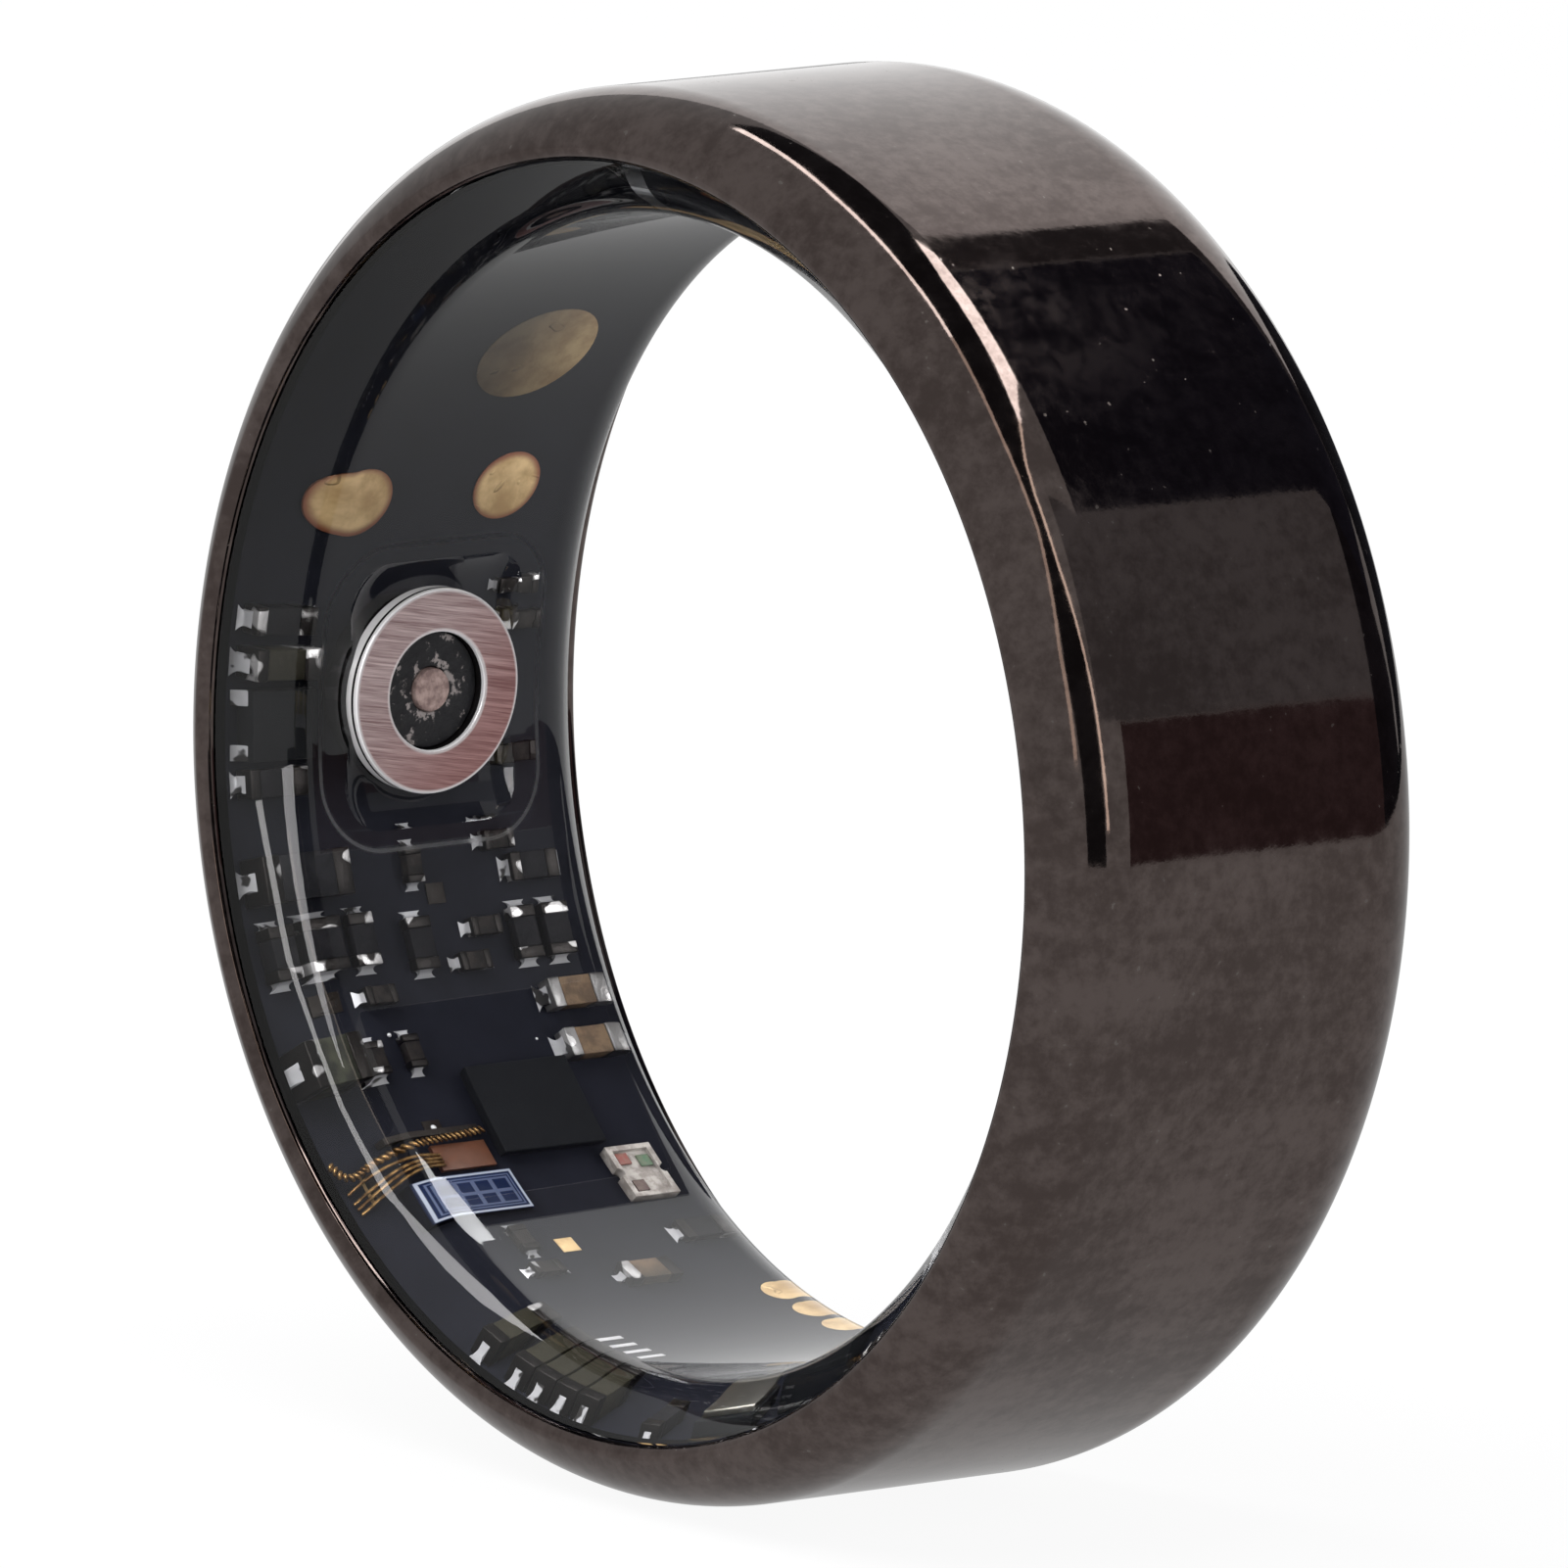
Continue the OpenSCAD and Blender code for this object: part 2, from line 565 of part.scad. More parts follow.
// Raised gold rails under the far feet of the comb and of the fan
module wire_rails() on_board(die_share) {
    translate([-die_w / 2 - comb_reach * 3 / 4, comb_end_y - (comb_count - 1) * comb_pitch / 2, 0])
        block(rail_w, comb_count * comb_pitch, die_h + base_z(die_w) - base_z(comb_span),
            base_z(comb_span));
    translate([(fan_count - 1) * fan_pitch / 2, fan_end_y, 0])
        block(fan_count * fan_pitch, rail_w, die_h, base_z(die_w));
}

// A white case with a well for the dies and a half round notch in each side
module led_package() color([0.86, 0.86, 0.84]) on_board(led_share) difference() {
    block(led_w, led_l, led_h, base_z(led_w));
    block(led_w - 2 * led_wall, led_l - 2 * led_wall, led_well + overrun,
        base_z(led_w) + led_h - led_well);
    for (side = [-1, 1]) translate([0, side * led_l / 2, 0])
        cylinder(h = led_h + 2 * overrun, r = led_notch_r, center = true, $fn = 32);
}

module led_die(place) on_board(led_share)
    translate([place[0] * led_w, place[1] * led_l, 0])
        block(led_die_w, led_die_w, led_die_h, base_z(led_w) + led_h - led_well);

module red_led_die() color([0.75, 0.12, 0.08]) led_die(red_die_share);

module green_led_die() color([0.12, 0.6, 0.25]) led_die(green_die_share);

module infrared_led_die() color([0.2, 0.08, 0.1]) led_die(infrared_die_share);

module large_capacitor_bodies() color([0.45, 0.37, 0.3])
    for (place = large_place_shares) part_body(place, cap_w, cap_l, cap_h);

module large_capacitor_ends() color([0.75, 0.73, 0.72])
    for (place = large_place_shares) part_ends(place, cap_w, cap_l, cap_h);

module small_capacitor_bodies() color([0.3, 0.25, 0.22])
    for (place = small_capacitor_shares) part_body(place, mini_w, mini_l, mini_h);

module small_capacitor_ends() color([0.8, 0.79, 0.78])
    for (place = small_capacitor_shares) part_ends(place, mini_w, mini_l, mini_h);

module resistor_bodies() color([0.07, 0.07, 0.08])
    for (place = resistor_shares) part_body(place, res_w, res_l, res_h);

module resistor_ends() color([0.8, 0.8, 0.8])
    for (place = resistor_shares) part_ends(place, res_w, res_l, res_h);

module ferrite_body() color([0.1, 0.1, 0.11]) part_body(ferrite_share, ferrite_w, ferrite_l, ferrite_h);

module ferrite_ends() color([0.85, 0.85, 0.85]) part_ends(ferrite_share, ferrite_w, ferrite_l, ferrite_h);

module power_inductor() color([0.3, 0.3, 0.24])
    part_body(inductor_share, inductor_w, inductor_l, inductor_h);

module inductor_ends() color([0.8, 0.8, 0.78])
    part_ends(inductor_share, inductor_w, inductor_l, inductor_h);

module solder_fillets() color([0.85, 0.85, 0.85]) {
    for (place = large_place_shares) part_fillets(place, cap_w, cap_l, cap_h);
    for (place = small_capacitor_shares) part_fillets(place, mini_w, mini_l, mini_h);
    for (place = resistor_shares) part_fillets(place, res_w, res_l, res_h);
    part_fillets(ferrite_share, ferrite_w, ferrite_l, ferrite_h);
    part_fillets(inductor_share, inductor_w, inductor_l, inductor_h);
    part_fillets(antenna_share, antenna_w, antenna_l, antenna_h);
}

module pads(shares, w, l) for (place = shares) on_board(place) block(w, l, pad_t, base_z(w));

module round_pads(shares, d) for (place = shares) on_board(place)
    translate([0, 0, base_z(d)]) cylinder(h = pad_t, d = d, $fn = 48);

module gold_pads() color([0.8, 0.65, 0.4]) {
    round_pads(round_pad_shares, round_pad_d);
    round_pads([wide_pad_share], wide_pad_d);
    round_pads(small_pad_shares, small_pad_d);
    pads(square_pad_shares, square_pad_w, square_pad_w);
    pads(stroke_pad_shares, stroke_pad_w, stroke_pad_l);
    wire_rails();
}

outer_shell();
adhesive_tape();
flex_board();
resin_liner();
battery_cell();
battery_sleeve();
battery_tabs();
protection_chip();
contact_ring();
contact_insulator();
contact_pin();
contact_solder();
main_processor();
processor_balls();
charger_chip();
charger_terminals();
motion_sensor();
power_chip();
chip_antenna();
antenna_ends();
crystal_base();
crystal_lid();
sensor_die();
photodiode();
bond_wires();
led_package();
red_led_die();
green_led_die();
infrared_led_die();
large_capacitor_bodies();
large_capacitor_ends();
small_capacitor_bodies();
small_capacitor_ends();
resistor_bodies();
resistor_ends();
ferrite_body();
ferrite_ends();
power_inductor();
inductor_ends();
solder_fillets();
gold_pads();
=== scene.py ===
import json
import math

import bpy
from mathutils import Matrix, Vector

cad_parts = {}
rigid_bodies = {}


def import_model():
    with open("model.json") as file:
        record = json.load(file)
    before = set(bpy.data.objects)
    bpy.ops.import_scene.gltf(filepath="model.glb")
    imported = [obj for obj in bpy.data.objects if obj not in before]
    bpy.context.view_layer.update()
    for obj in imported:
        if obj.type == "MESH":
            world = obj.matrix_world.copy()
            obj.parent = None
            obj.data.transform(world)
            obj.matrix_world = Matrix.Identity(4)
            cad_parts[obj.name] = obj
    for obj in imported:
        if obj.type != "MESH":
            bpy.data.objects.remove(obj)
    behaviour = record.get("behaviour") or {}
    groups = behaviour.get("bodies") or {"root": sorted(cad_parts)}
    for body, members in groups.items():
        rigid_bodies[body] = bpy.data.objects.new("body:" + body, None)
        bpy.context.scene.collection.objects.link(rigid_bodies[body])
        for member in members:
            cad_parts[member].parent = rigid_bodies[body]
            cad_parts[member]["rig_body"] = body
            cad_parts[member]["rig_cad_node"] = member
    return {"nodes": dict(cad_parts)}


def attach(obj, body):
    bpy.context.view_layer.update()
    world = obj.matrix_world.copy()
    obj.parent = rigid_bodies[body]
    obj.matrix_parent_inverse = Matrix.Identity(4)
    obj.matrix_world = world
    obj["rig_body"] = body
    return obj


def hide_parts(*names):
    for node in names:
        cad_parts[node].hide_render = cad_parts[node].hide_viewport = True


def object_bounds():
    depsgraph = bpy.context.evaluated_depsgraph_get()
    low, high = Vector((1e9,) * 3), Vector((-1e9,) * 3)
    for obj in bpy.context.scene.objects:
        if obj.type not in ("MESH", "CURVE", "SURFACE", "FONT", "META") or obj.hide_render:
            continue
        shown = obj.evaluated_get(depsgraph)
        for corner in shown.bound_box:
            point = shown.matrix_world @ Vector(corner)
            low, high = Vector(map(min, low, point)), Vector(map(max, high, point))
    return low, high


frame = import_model()
cad_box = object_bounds()
nodes = frame["nodes"]

# Camera
# A long lens looks into the ring from its near side, a little above the axis of the finger,
# and is rolled slightly, as the ring in the photograph leans.
camera_away = Vector((0.7552, -0.6299, 0.1816)).normalized()
camera_up = Vector((-0.1625, 0.0885, 0.9827))
camera_right = camera_up.cross(camera_away).normalized()
camera_up = camera_away.cross(camera_right)
camera_distance = 0.5
camera_data = bpy.data.cameras.new("camera")
camera_data.sensor_width = 36
camera_data.lens = 735.74
camera_data.shift_x = -10.5 / 1601
camera_data.shift_y = -1.5 / 1601
camera_data.clip_start = 0.01
camera_data.clip_end = 20
camera = bpy.data.objects.new("camera", camera_data)
bpy.context.scene.collection.objects.link(camera)
camera_turn = Matrix((camera_right, camera_up, camera_away)).transposed().to_4x4()
camera.matrix_world = Matrix.Translation(camera_away * camera_distance) @ camera_turn
bpy.context.scene.camera = camera
view = bpy.context.scene.view_settings
view.view_transform = "Standard"

# Studio
# The ring stands on a white sweep in a white room, lit by soft boxes from above and from both
# sides. Curved boards and lamps round it give the polished metal and the resin their reflections.
mm = 0.001
floor_z = cad_box[0][2] - 0.02 * mm


class Signal:
    """One output of a shader node. Sums, products and comparisons of it add Math nodes."""

    def __init__(self, finish, socket):
        self.finish = finish
        self.socket = socket

    def __add__(self, other):
        return self.finish.maths("ADD", self, other)

    def __radd__(self, other):
        return self.finish.maths("ADD", other, self)

    def __sub__(self, other):
        return self.finish.maths("SUBTRACT", self, other)

    def __rsub__(self, other):
        return self.finish.maths("SUBTRACT", other, self)

    def __mul__(self, other):
        return self.finish.maths("MULTIPLY", self, other)

    def __rmul__(self, other):
        return self.finish.maths("MULTIPLY", other, self)

    def __truediv__(self, other):
        return self.finish.maths("DIVIDE", self, other)

    def __pow__(self, other):
        return self.finish.maths("POWER", self, other)

    def __gt__(self, other):
        return self.finish.maths("GREATER_THAN", self, other)

    def __lt__(self, other):
        return self.finish.maths("LESS_THAN", self, other)


class Finish:
    """A material whose nodes are written as expressions."""

    def __init__(self, name):
        self.material = bpy.data.materials.new(name)
        self.material.use_nodes = True
        self.tree = self.material.node_tree
        self.shader = self.tree.nodes["Principled BSDF"]

    def node(self, kind, settings=None, sockets=None, output=0):
        """Adds a node of that kind with its settings, then the values or links of its sockets."""
        made = self.tree.nodes.new("ShaderNode" + kind)
        for name, value in (settings or {}).items():
            if name == "stops":
                while len(made.color_ramp.elements) < len(value):
                    made.color_ramp.elements.new(1)
                for element, (place, colour) in zip(made.color_ramp.elements, value):
                    element.position = place
                    element.color = colour
            else:
                setattr(made, name, value)
        for key, value in (sockets or {}).items():
            if isinstance(value, Signal):
                self.tree.links.new(value.socket, made.inputs[key])
            else:
                made.inputs[key].default_value = value
        return Signal(self, made.outputs[output])

    def maths(self, operation, *values):
        return self.node("Math", {"operation": operation}, dict(enumerate(values)))

    def mix(self, share, first, second):
        """A colour between first and second."""
        sockets = {0: share, 6: first, 7: second}
        return self.node("Mix", {"data_type": "RGBA", "clamp_factor": True}, sockets, output=2)

    def place(self):
        """The point in the ring's own frame."""
        return self.node("TexCoord", output="Object")

    def noise(self, scale, detail=3, roughness=0.5, stretch=(1, 1, 1), place=None):
        """Noise with that many cells to a millimetre, finer where stretch is larger."""
        scales = [s / mm for s in stretch]
        vector = self.node("Mapping", None, {"Vector": place or self.place(), "Scale": scales})
        sockets = {"Vector": vector, "Scale": scale, "Detail": detail, "Roughness": roughness}
        return self.node("TexNoise", None, sockets)

    def axis(self, i):
        """The place along X, Y or Z, in millimetres."""
        return self.node("SeparateXYZ", None, {0: self.place()}, output=i) / mm

    def ring_place(self):
        """Degrees down from the -X side, the place along the finger and the radius, in millimetres."""
        x, y, z = [self.axis(i) for i in range(3)]
        turn = self.maths("ARCTAN2", 0 - z, 0 - x) * math.degrees(1)
        return turn, y, (x * x + z * z) ** 0.5

    def band(self, value, centre, half, soft=0.01):
        """1 where the value lies within half of the centre, and 0 outside."""
        away = self.maths("ABSOLUTE", value - centre)
        return 1 - self.step(away, half - soft, half + soft)

    def step(self, value, low, high):
        """A smooth step of value from 0 at low to 1 at high."""
        sockets = {"Value": value, "From Min": low, "From Max": high}
        return self.node("MapRange", {"interpolation_type": "SMOOTHSTEP"}, sockets)

    def bump(self, height, depth, strength=1):
        sockets = {"Height": height, "Distance": depth, "Strength": strength}
        return self.node("Bump", None, sockets)

    def set(self, **values):
        """Sets the shader's sockets, named with underscores for spaces."""
        for name, value in values.items():
            socket = self.shader.inputs[name.replace("_", " ")]
            if isinstance(value, Signal):
                self.tree.links.new(value.socket, socket)
            else:
                socket.default_value = value


def tone(red, green, blue):
    """A colour from display values of 0 to 255."""
    def linear(value):
        value = value / 255
        return value / 12.92 if value <= 0.04045 else ((value + 0.055) / 1.055) ** 2.4
    return (linear(red), linear(green), linear(blue), 1)


def deselect():
    for o in bpy.context.selected_objects:
        o.select_set(False)


def direction(turn, rise):
    """The way towards a place turned from -Y towards +X, and raised above the level, in degrees."""
    turn = math.radians(turn)
    rise = math.radians(rise)
    return Vector((math.sin(turn) * math.cos(rise), -math.cos(turn) * math.cos(rise), math.sin(rise)))


def facing(towards, roll=0):
    """A turn that points a light's or a board's face back at the ring."""
    turn = towards.to_track_quat("Z", "Y").to_matrix().to_4x4()
    return turn @ Matrix.Rotation(math.radians(roll), 4, "Z")


deselect()
bpy.ops.mesh.primitive_plane_add(size=6, location=(0, 0, floor_z))
floor = bpy.context.object
floor.name = "floor"
paper = Finish("paper_sweep")
paper.set(Base_Color=tone(226, 226, 228), Roughness=0.9)
paper.shader.inputs["Specular IOR Level"].default_value = 0
seen = paper.node("LightPath", output="Is Camera Ray")
mirrored = paper.node("LightPath", output="Is Glossy Ray")
through = paper.node("LightPath", output="Is Transmission Ray")
white_share = seen * 0.93 + through * 0.93 + mirrored
glow = paper.node("Emission", None, {"Color": (1, 1, 1, 1), "Strength": 1 - mirrored * 0.5})
body = Signal(paper, paper.shader.outputs[0])
mixed = paper.node("MixShader", None, {0: white_share, 1: body, 2: glow})
paper.tree.links.new(mixed.socket, paper.tree.nodes["Material Output"].inputs["Surface"])
floor.data.materials.append(paper.material)

world = bpy.data.worlds.new("white_room")
bpy.context.scene.world = world
world.use_nodes = True
room = Finish("room_light")
room.tree = world.node_tree
room_light = 0.45
room_mirrored = 0.45
seen = room.node("LightPath", output="Is Camera Ray")
mirrored = room.node("LightPath", output="Is Glossy Ray")
through = room.node("LightPath", output="Is Transmission Ray")
white = room.maths("MAXIMUM", seen, through)
level = white * (1 - room_light) + mirrored * (room_mirrored - room_light) + room_light
background = world.node_tree.nodes["Background"]
room.tree.links.new(level.socket, background.inputs["Strength"])
background.inputs["Color"].default_value = (1, 1, 1, 1)
bpy.data.materials.remove(room.material)


def soft_box(name, turn, rise, distance, width, height, watts, roll=0):
    data = bpy.data.lights.new(name, "AREA")
    data.shape = "RECTANGLE"
    data.size = width
    data.size_y = height
    data.energy = watts
    box = bpy.data.objects.new(name, data)
    bpy.context.scene.collection.objects.link(box)
    towards = direction(turn, rise)
    box.matrix_world = Matrix.Translation(towards * distance) @ facing(towards, roll)
    return box


def curved_board(name, distance, outline, shade, strength=1, sheer=False):
    """A board on a sphere round the ring, which only polished surfaces see. Its outline is a list of
    the angle round the finger, from +X upwards, and the places of the board's two edges along the
    finger, as shares of the distance. A sheer board only adds its light to what lies behind it."""
    deselect()
    bpy.ops.mesh.primitive_grid_add(x_subdivisions=48, y_subdivisions=6, size=1)
    board = bpy.context.object
    board.name = name
    for vertex in board.data.vertices:
        share = (vertex.co.x + 0.5) * (len(outline) - 1)
        i = min(int(share), len(outline) - 2)
        angle, low, high = [a + (b - a) * (share - i) for a, b in zip(outline[i], outline[i + 1])]
        along = low + (high - low) * (vertex.co.y + 0.5)
        across = math.sqrt(1 - along ** 2)
        angle = math.radians(angle)
        vertex.co = Vector((math.cos(angle) * across, along, math.sin(angle) * across)) * distance
    board.visible_camera = False
    board.visible_diffuse = False
    board.visible_transmission = False
    board.visible_shadow = False
    cloth = Finish(name + "_cloth")
    cloth.set(Base_Color=(0, 0, 0, 1), Roughness=1, Emission_Color=shade, Emission_Strength=strength)
    cloth.shader.inputs["Specular IOR Level"].default_value = 0
    if sheer:
        clear = cloth.node("BsdfTransparent")
        light = cloth.node("Emission", None, {"Color": shade, "Strength": strength})
        both = cloth.node("AddShader", None, {0: clear, 1: light})
        cloth.tree.links.new(both.socket, cloth.tree.nodes["Material Output"].inputs["Surface"])
    board.data.materials.append(cloth.material)
    return board


for box in (soft_box("top_box", 20, 68, 0.4, 0.35, 0.25, 1.6),
            soft_box("left_box", -60, 30, 0.4, 0.2, 0.3, 1),
            soft_box("right_box", 110, 20, 0.4, 0.2, 0.3, 0.8)):
    box.visible_glossy = False
strip_lamps = [soft_box("strip_lamp_low", 20, 33, 0.4, 0.022, 0.34, 0.5, 28),
               soft_box("strip_lamp_high", -28, 52, 0.4, 0.022, 0.2, 0.3, 78)]
backdrop_r = 0.16
curved_board("black_board", backdrop_r, [(50, 0.575, 0.97), (96, 0.575, 0.97)], (0.03, 0.03, 0.045, 1))
curved_board("dusk_board", backdrop_r, [(96.2, 0.575, 0.97), (103.5, 0.575, 0.97)],
             (0.08, 0.075, 0.08, 1))
curved_board("grey_board", backdrop_r, [(17, 0.1, 0.97), (49.8, 0.2, 0.97)], (0.22, 0.22, 0.23, 1))
curved_board("brown_board", backdrop_r, [(-16, 0.5, 0.97), (16.8, 0.5, 0.97)], (0.12, 0.08, 0.085, 1))
curved_board("white_board", backdrop_r, [(104, 0.6, 0.99), (110, 0.52, 0.99), (180, 0.3, 0.99)],
             (1, 1, 1, 1), 1.1)
dark_board_r = 0.155
curved_board("black_bar", dark_board_r, [
    (-3, -0.3, 0.04), (24, -0.36, 0.02), (40, -0.25, -0.04), (50, -0.2, -0.02), (56, -0.18, 0.07),
    (62, -0.12, 0.24), (79, -0.04, 0.36), (92, 0.03, 0.44), (102, 0.08, 0.5), (116, 0.16, 0.5),
    (128, 0.23, 0.4)], (0.04, 0.04, 0.045, 1))
curved_board("far_board", dark_board_r, [
    (100, 0.92, 0.999), (180, 0.82, 0.999), (195, 0.68, 0.999), (343, 0.68, 0.999)],
    (0.02, 0.02, 0.025, 1))
curved_board("far_edge_board", dark_board_r, [(-17, 0.84, 0.999), (17, 0.79, 0.999), (50, 0.76, 0.999)],
             (0.03, 0.028, 0.035, 1))
lamp_r = 0.15
curved_board("long_lamp", lamp_r, [
    (2, 0.06, 0.11), (20, 0.04, 0.08), (30, 0, 0.04), (40, -0.05, -0.01), (50, -0.035, 0.005),
    (55, 0.03, 0.075), (62, 0.25, 0.29)], (1, 0.88, 0.76, 1), 3.5)
wedge_lamp = curved_board("wedge_lamp", lamp_r, [
    (62, 0.25, 0.29), (72, 0.34, 0.55), (88, 0.39, 0.57), (99, 0.47, 0.57)],
    (1, 0.98, 0.95, 1), 6.5, sheer=True)
curved_board("edge_lamp", lamp_r, [
    (76, -0.09, -0.04), (82, -0.06, -0.01), (94, -0.02, 0.03), (105, 0.02, 0.07), (115, 0.1, 0.15),
    (126, 0.16, 0.22)], (1, 0.98, 0.95, 1), 6.5)
curved_board("edge_lamp_end", lamp_r, [
    (12, -0.44, -0.38), (28, -0.42, -0.36), (45, -0.21, -0.16), (61, -0.18, -0.13),
    (75.8, -0.09, -0.04)], (1, 0.86, 0.74, 1), 1.8)
liner_lamp_r = 0.148
liner_lamps = [
    curved_board("outer_line_lamp", liner_lamp_r, [
        (4, -0.815, -0.79), (22, -0.792, -0.768), (39, -0.78, -0.756), (52, -0.742, -0.716),
        (70, -0.698, -0.668), (79, -0.663, -0.62), (88, -0.63, -0.54)],
        (1, 0.98, 0.98, 1), 6, sheer=True),
    curved_board("crescent_lamp", liner_lamp_r, [
        (88, -0.63, -0.54), (93, -0.575, -0.36), (98, -0.545, -0.24), (105, -0.49, -0.125),
        (112, -0.4, -0.01), (118, -0.21, 0.08), (126, 0, 0.1)],
        (1, 0.98, 1, 1), 6, sheer=True),
    curved_board("inner_line_lamp", liner_lamp_r, [
        (0, -0.47, -0.14), (14, -0.465, -0.16), (27, -0.45, -0.19), (37, -0.445, -0.24),
        (47, -0.44, -0.3), (57, -0.43, -0.39)],
        (1, 0.98, 1, 1), 5, sheer=True),
    curved_board("spike_lamp", liner_lamp_r, [
        (79.5, 0.51, 0.515), (82, 0.49, 0.56), (85, 0.462, 0.605), (90, 0.42, 0.6195),
        (95, 0.43, 0.6202), (99, 0.47, 0.6206), (108, 0.6, 0.6206)],
        (0.97, 0.98, 1, 1), 8, sheer=True)]

# Shell
# The shell is turned from a metal tube: a flat band with rounded edges that roll over a narrow rim
# and down to the liner. It is polished and has a dark gunmetal coating with faint smudges. In the
# channel and under the resin it is painted near black, as painted shade.
outer_r = 11.1
floor_r = 10.55
band_half = 3.8
edge_axial = 1.55
edge_radial = 1.46
edge_turn = math.radians(64)
rim_r = 0.17
channel_half = 3.35
channel_corner_r = 0.12
around_steps = 300


def arc(centre, radius, start, end, steps):
    """Points of radius and width on an arc, from start to end in degrees."""
    angles = [math.radians(start + (end - start) * i / steps) for i in range(steps + 1)]
    return [(centre[0] + radius * math.cos(a), centre[1] + radius * math.sin(a)) for a in angles]


def both_sides(side):
    """The outline from the far side's end to the near side's, mirrored at the middle."""
    return side + [(r, -y) for r, y in reversed(side)]


def draw_outline(name, points, closed=True):
    """Draws an outline of radius and width, in millimetres, as edges on the ring's +X side."""
    deselect()
    bpy.ops.mesh.primitive_plane_add(size=mm)
    drawn = bpy.context.object
    drawn.name = name
    bpy.ops.object.mode_set(mode="EDIT")
    bpy.ops.mesh.merge(type="CENTER")
    bpy.ops.transform.translate(value=(points[0][0] * mm, points[0][1] * mm, 0))
    for start, end in zip(points, points[1:]):
        move = ((end[0] - start[0]) * mm, (end[1] - start[1]) * mm, 0)
        bpy.ops.mesh.extrude_region_move(TRANSFORM_OT_translate={"value": move})
    bpy.ops.mesh.select_all(action="SELECT")
    if closed:
        bpy.ops.mesh.select_all(action="DESELECT")
        bpy.ops.object.mode_set(mode="OBJECT")
        drawn.data.vertices[0].select = True
        drawn.data.vertices[len(points) - 1].select = True
        bpy.ops.object.mode_set(mode="EDIT")
        bpy.ops.mesh.edge_face_add()
        bpy.ops.mesh.select_all(action="SELECT")
    return drawn


def turn_outline(drawn, axis=(0, 1, 0), centre=(0, 0, 0), steps=around_steps, angle=360):
    """Turns the outline in edit mode round an axis, and makes it a smooth closed skin."""
    bpy.ops.mesh.spin(steps=steps, angle=math.radians(angle), center=centre, axis=axis)
    bpy.ops.mesh.select_all(action="SELECT")
    bpy.ops.mesh.remove_doubles(threshold=0.0001 * mm)
    bpy.ops.mesh.normals_make_consistent(inside=False)
    bpy.ops.object.mode_set(mode="OBJECT")
    smooth_by_angle(drawn, 40)
    return drawn


def select_only(piece):
    deselect()
    piece.select_set(True)
    bpy.context.view_layer.objects.active = piece


def smooth_by_angle(piece, degrees):
    select_only(piece)
    bpy.ops.object.shade_smooth_by_angle(angle=math.radians(degrees))


def fit_piece(piece, finish, slot, *replaced):
    """Gives a new piece its finish and its place on the ring."""
    piece.data.materials.clear()
    piece.data.materials.append(finish.material)
    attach(piece, "root")
    if replaced:
        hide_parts(*replaced)


def dress_node(node, finish):
    """Gives a carried-over piece its finish."""
    node.data.materials.clear()
    node.data.materials.append(finish.material)


edge_centre_r = outer_r - edge_radial
rim_normal = math.atan2(math.sin(edge_turn) / edge_axial, math.cos(edge_turn) / edge_radial)
rim_centre_y = band_half - rim_r
edge_centre_y = rim_centre_y + rim_r * math.sin(rim_normal) - edge_axial * math.sin(edge_turn)
rim_centre_r = edge_centre_r + edge_radial * math.cos(edge_turn) - rim_r * math.cos(rim_normal)
lip_r = rim_centre_r - rim_r
edge_angles = [edge_turn * i / 28 for i in range(28)]
shell_side = [(edge_centre_r + edge_radial * math.cos(a), edge_centre_y + edge_axial * math.sin(a))
              for a in edge_angles]
shell_side = shell_side + arc((rim_centre_r, rim_centre_y), rim_r, math.degrees(rim_normal), 180, 16)
shell_side = shell_side + [(lip_r, channel_half)]
shell_side = shell_side + arc((floor_r - channel_corner_r, channel_half - channel_corner_r),
                              channel_corner_r, 90, 0, 4)
shell = turn_outline(draw_outline("metal_shell", both_sides(shell_side)))

gunmetal = Finish("gunmetal_coating")
smudge = gunmetal.noise(0.35, 5, 0.6)
streak = gunmetal.noise(1.2, 3, 0.55, (1, 0.25, 1))
mottle = gunmetal.noise(3.5, 4, 0.7)
grain = gunmetal.noise(9, 2)
haze = gunmetal.step(smudge * 0.35 + streak * 0.25 + mottle * 0.4, 0.4, 0.6)
speck = gunmetal.step(gunmetal.noise(7, 1), 0.76, 0.78)
coat_tone = gunmetal.mix(haze, (0.101, 0.078, 0.072, 1), (0.165, 0.132, 0.123, 1))
coat_tone = gunmetal.mix(speck * 0.4, coat_tone, tone(140, 136, 132))
turn, along, radius = gunmetal.ring_place()
along = gunmetal.maths("ABSOLUTE", along)
# The metal in the channel and under the resin is painted near black: painted shade where the board and the
# resin cover it.
in_channel = (radius < floor_r + 0.01) * (along < channel_half + 0.001)
under_resin = (radius < lip_r + 0.001) * (along < 3.6)
coat_tone = gunmetal.mix(in_channel + under_resin, coat_tone, (0.004, 0.004, 0.004, 1))
gunmetal.set(Metallic=1, Base_Color=coat_tone, Roughness=haze * 0.05 + speck * 0.2 + 0.035,
             Normal=gunmetal.bump(grain, 0.0004 * mm))
fit_piece(shell, gunmetal, "shell_metal", "outer_shell")

# Tape, board and battery
# A matt adhesive film holds the flexible circuit board against the shell. The board is polyimide
# with black solder mask. The curved cell in its black sleeve lies in the arc between its ends.
face_r = 10.38
board_back_r = 10.5
board_half = 3.3
board_from_angle = -43 * (1 - 0.663) / face_r
board_to_angle = 43 * 0.663 / face_r

film = Finish("adhesive_film")
film.set(Base_Color=film.mix(film.noise(2, 3), tone(196, 182, 140), tone(176, 160, 118)), Roughness=0.75)
dress_node(nodes["adhesive_tape"], film)

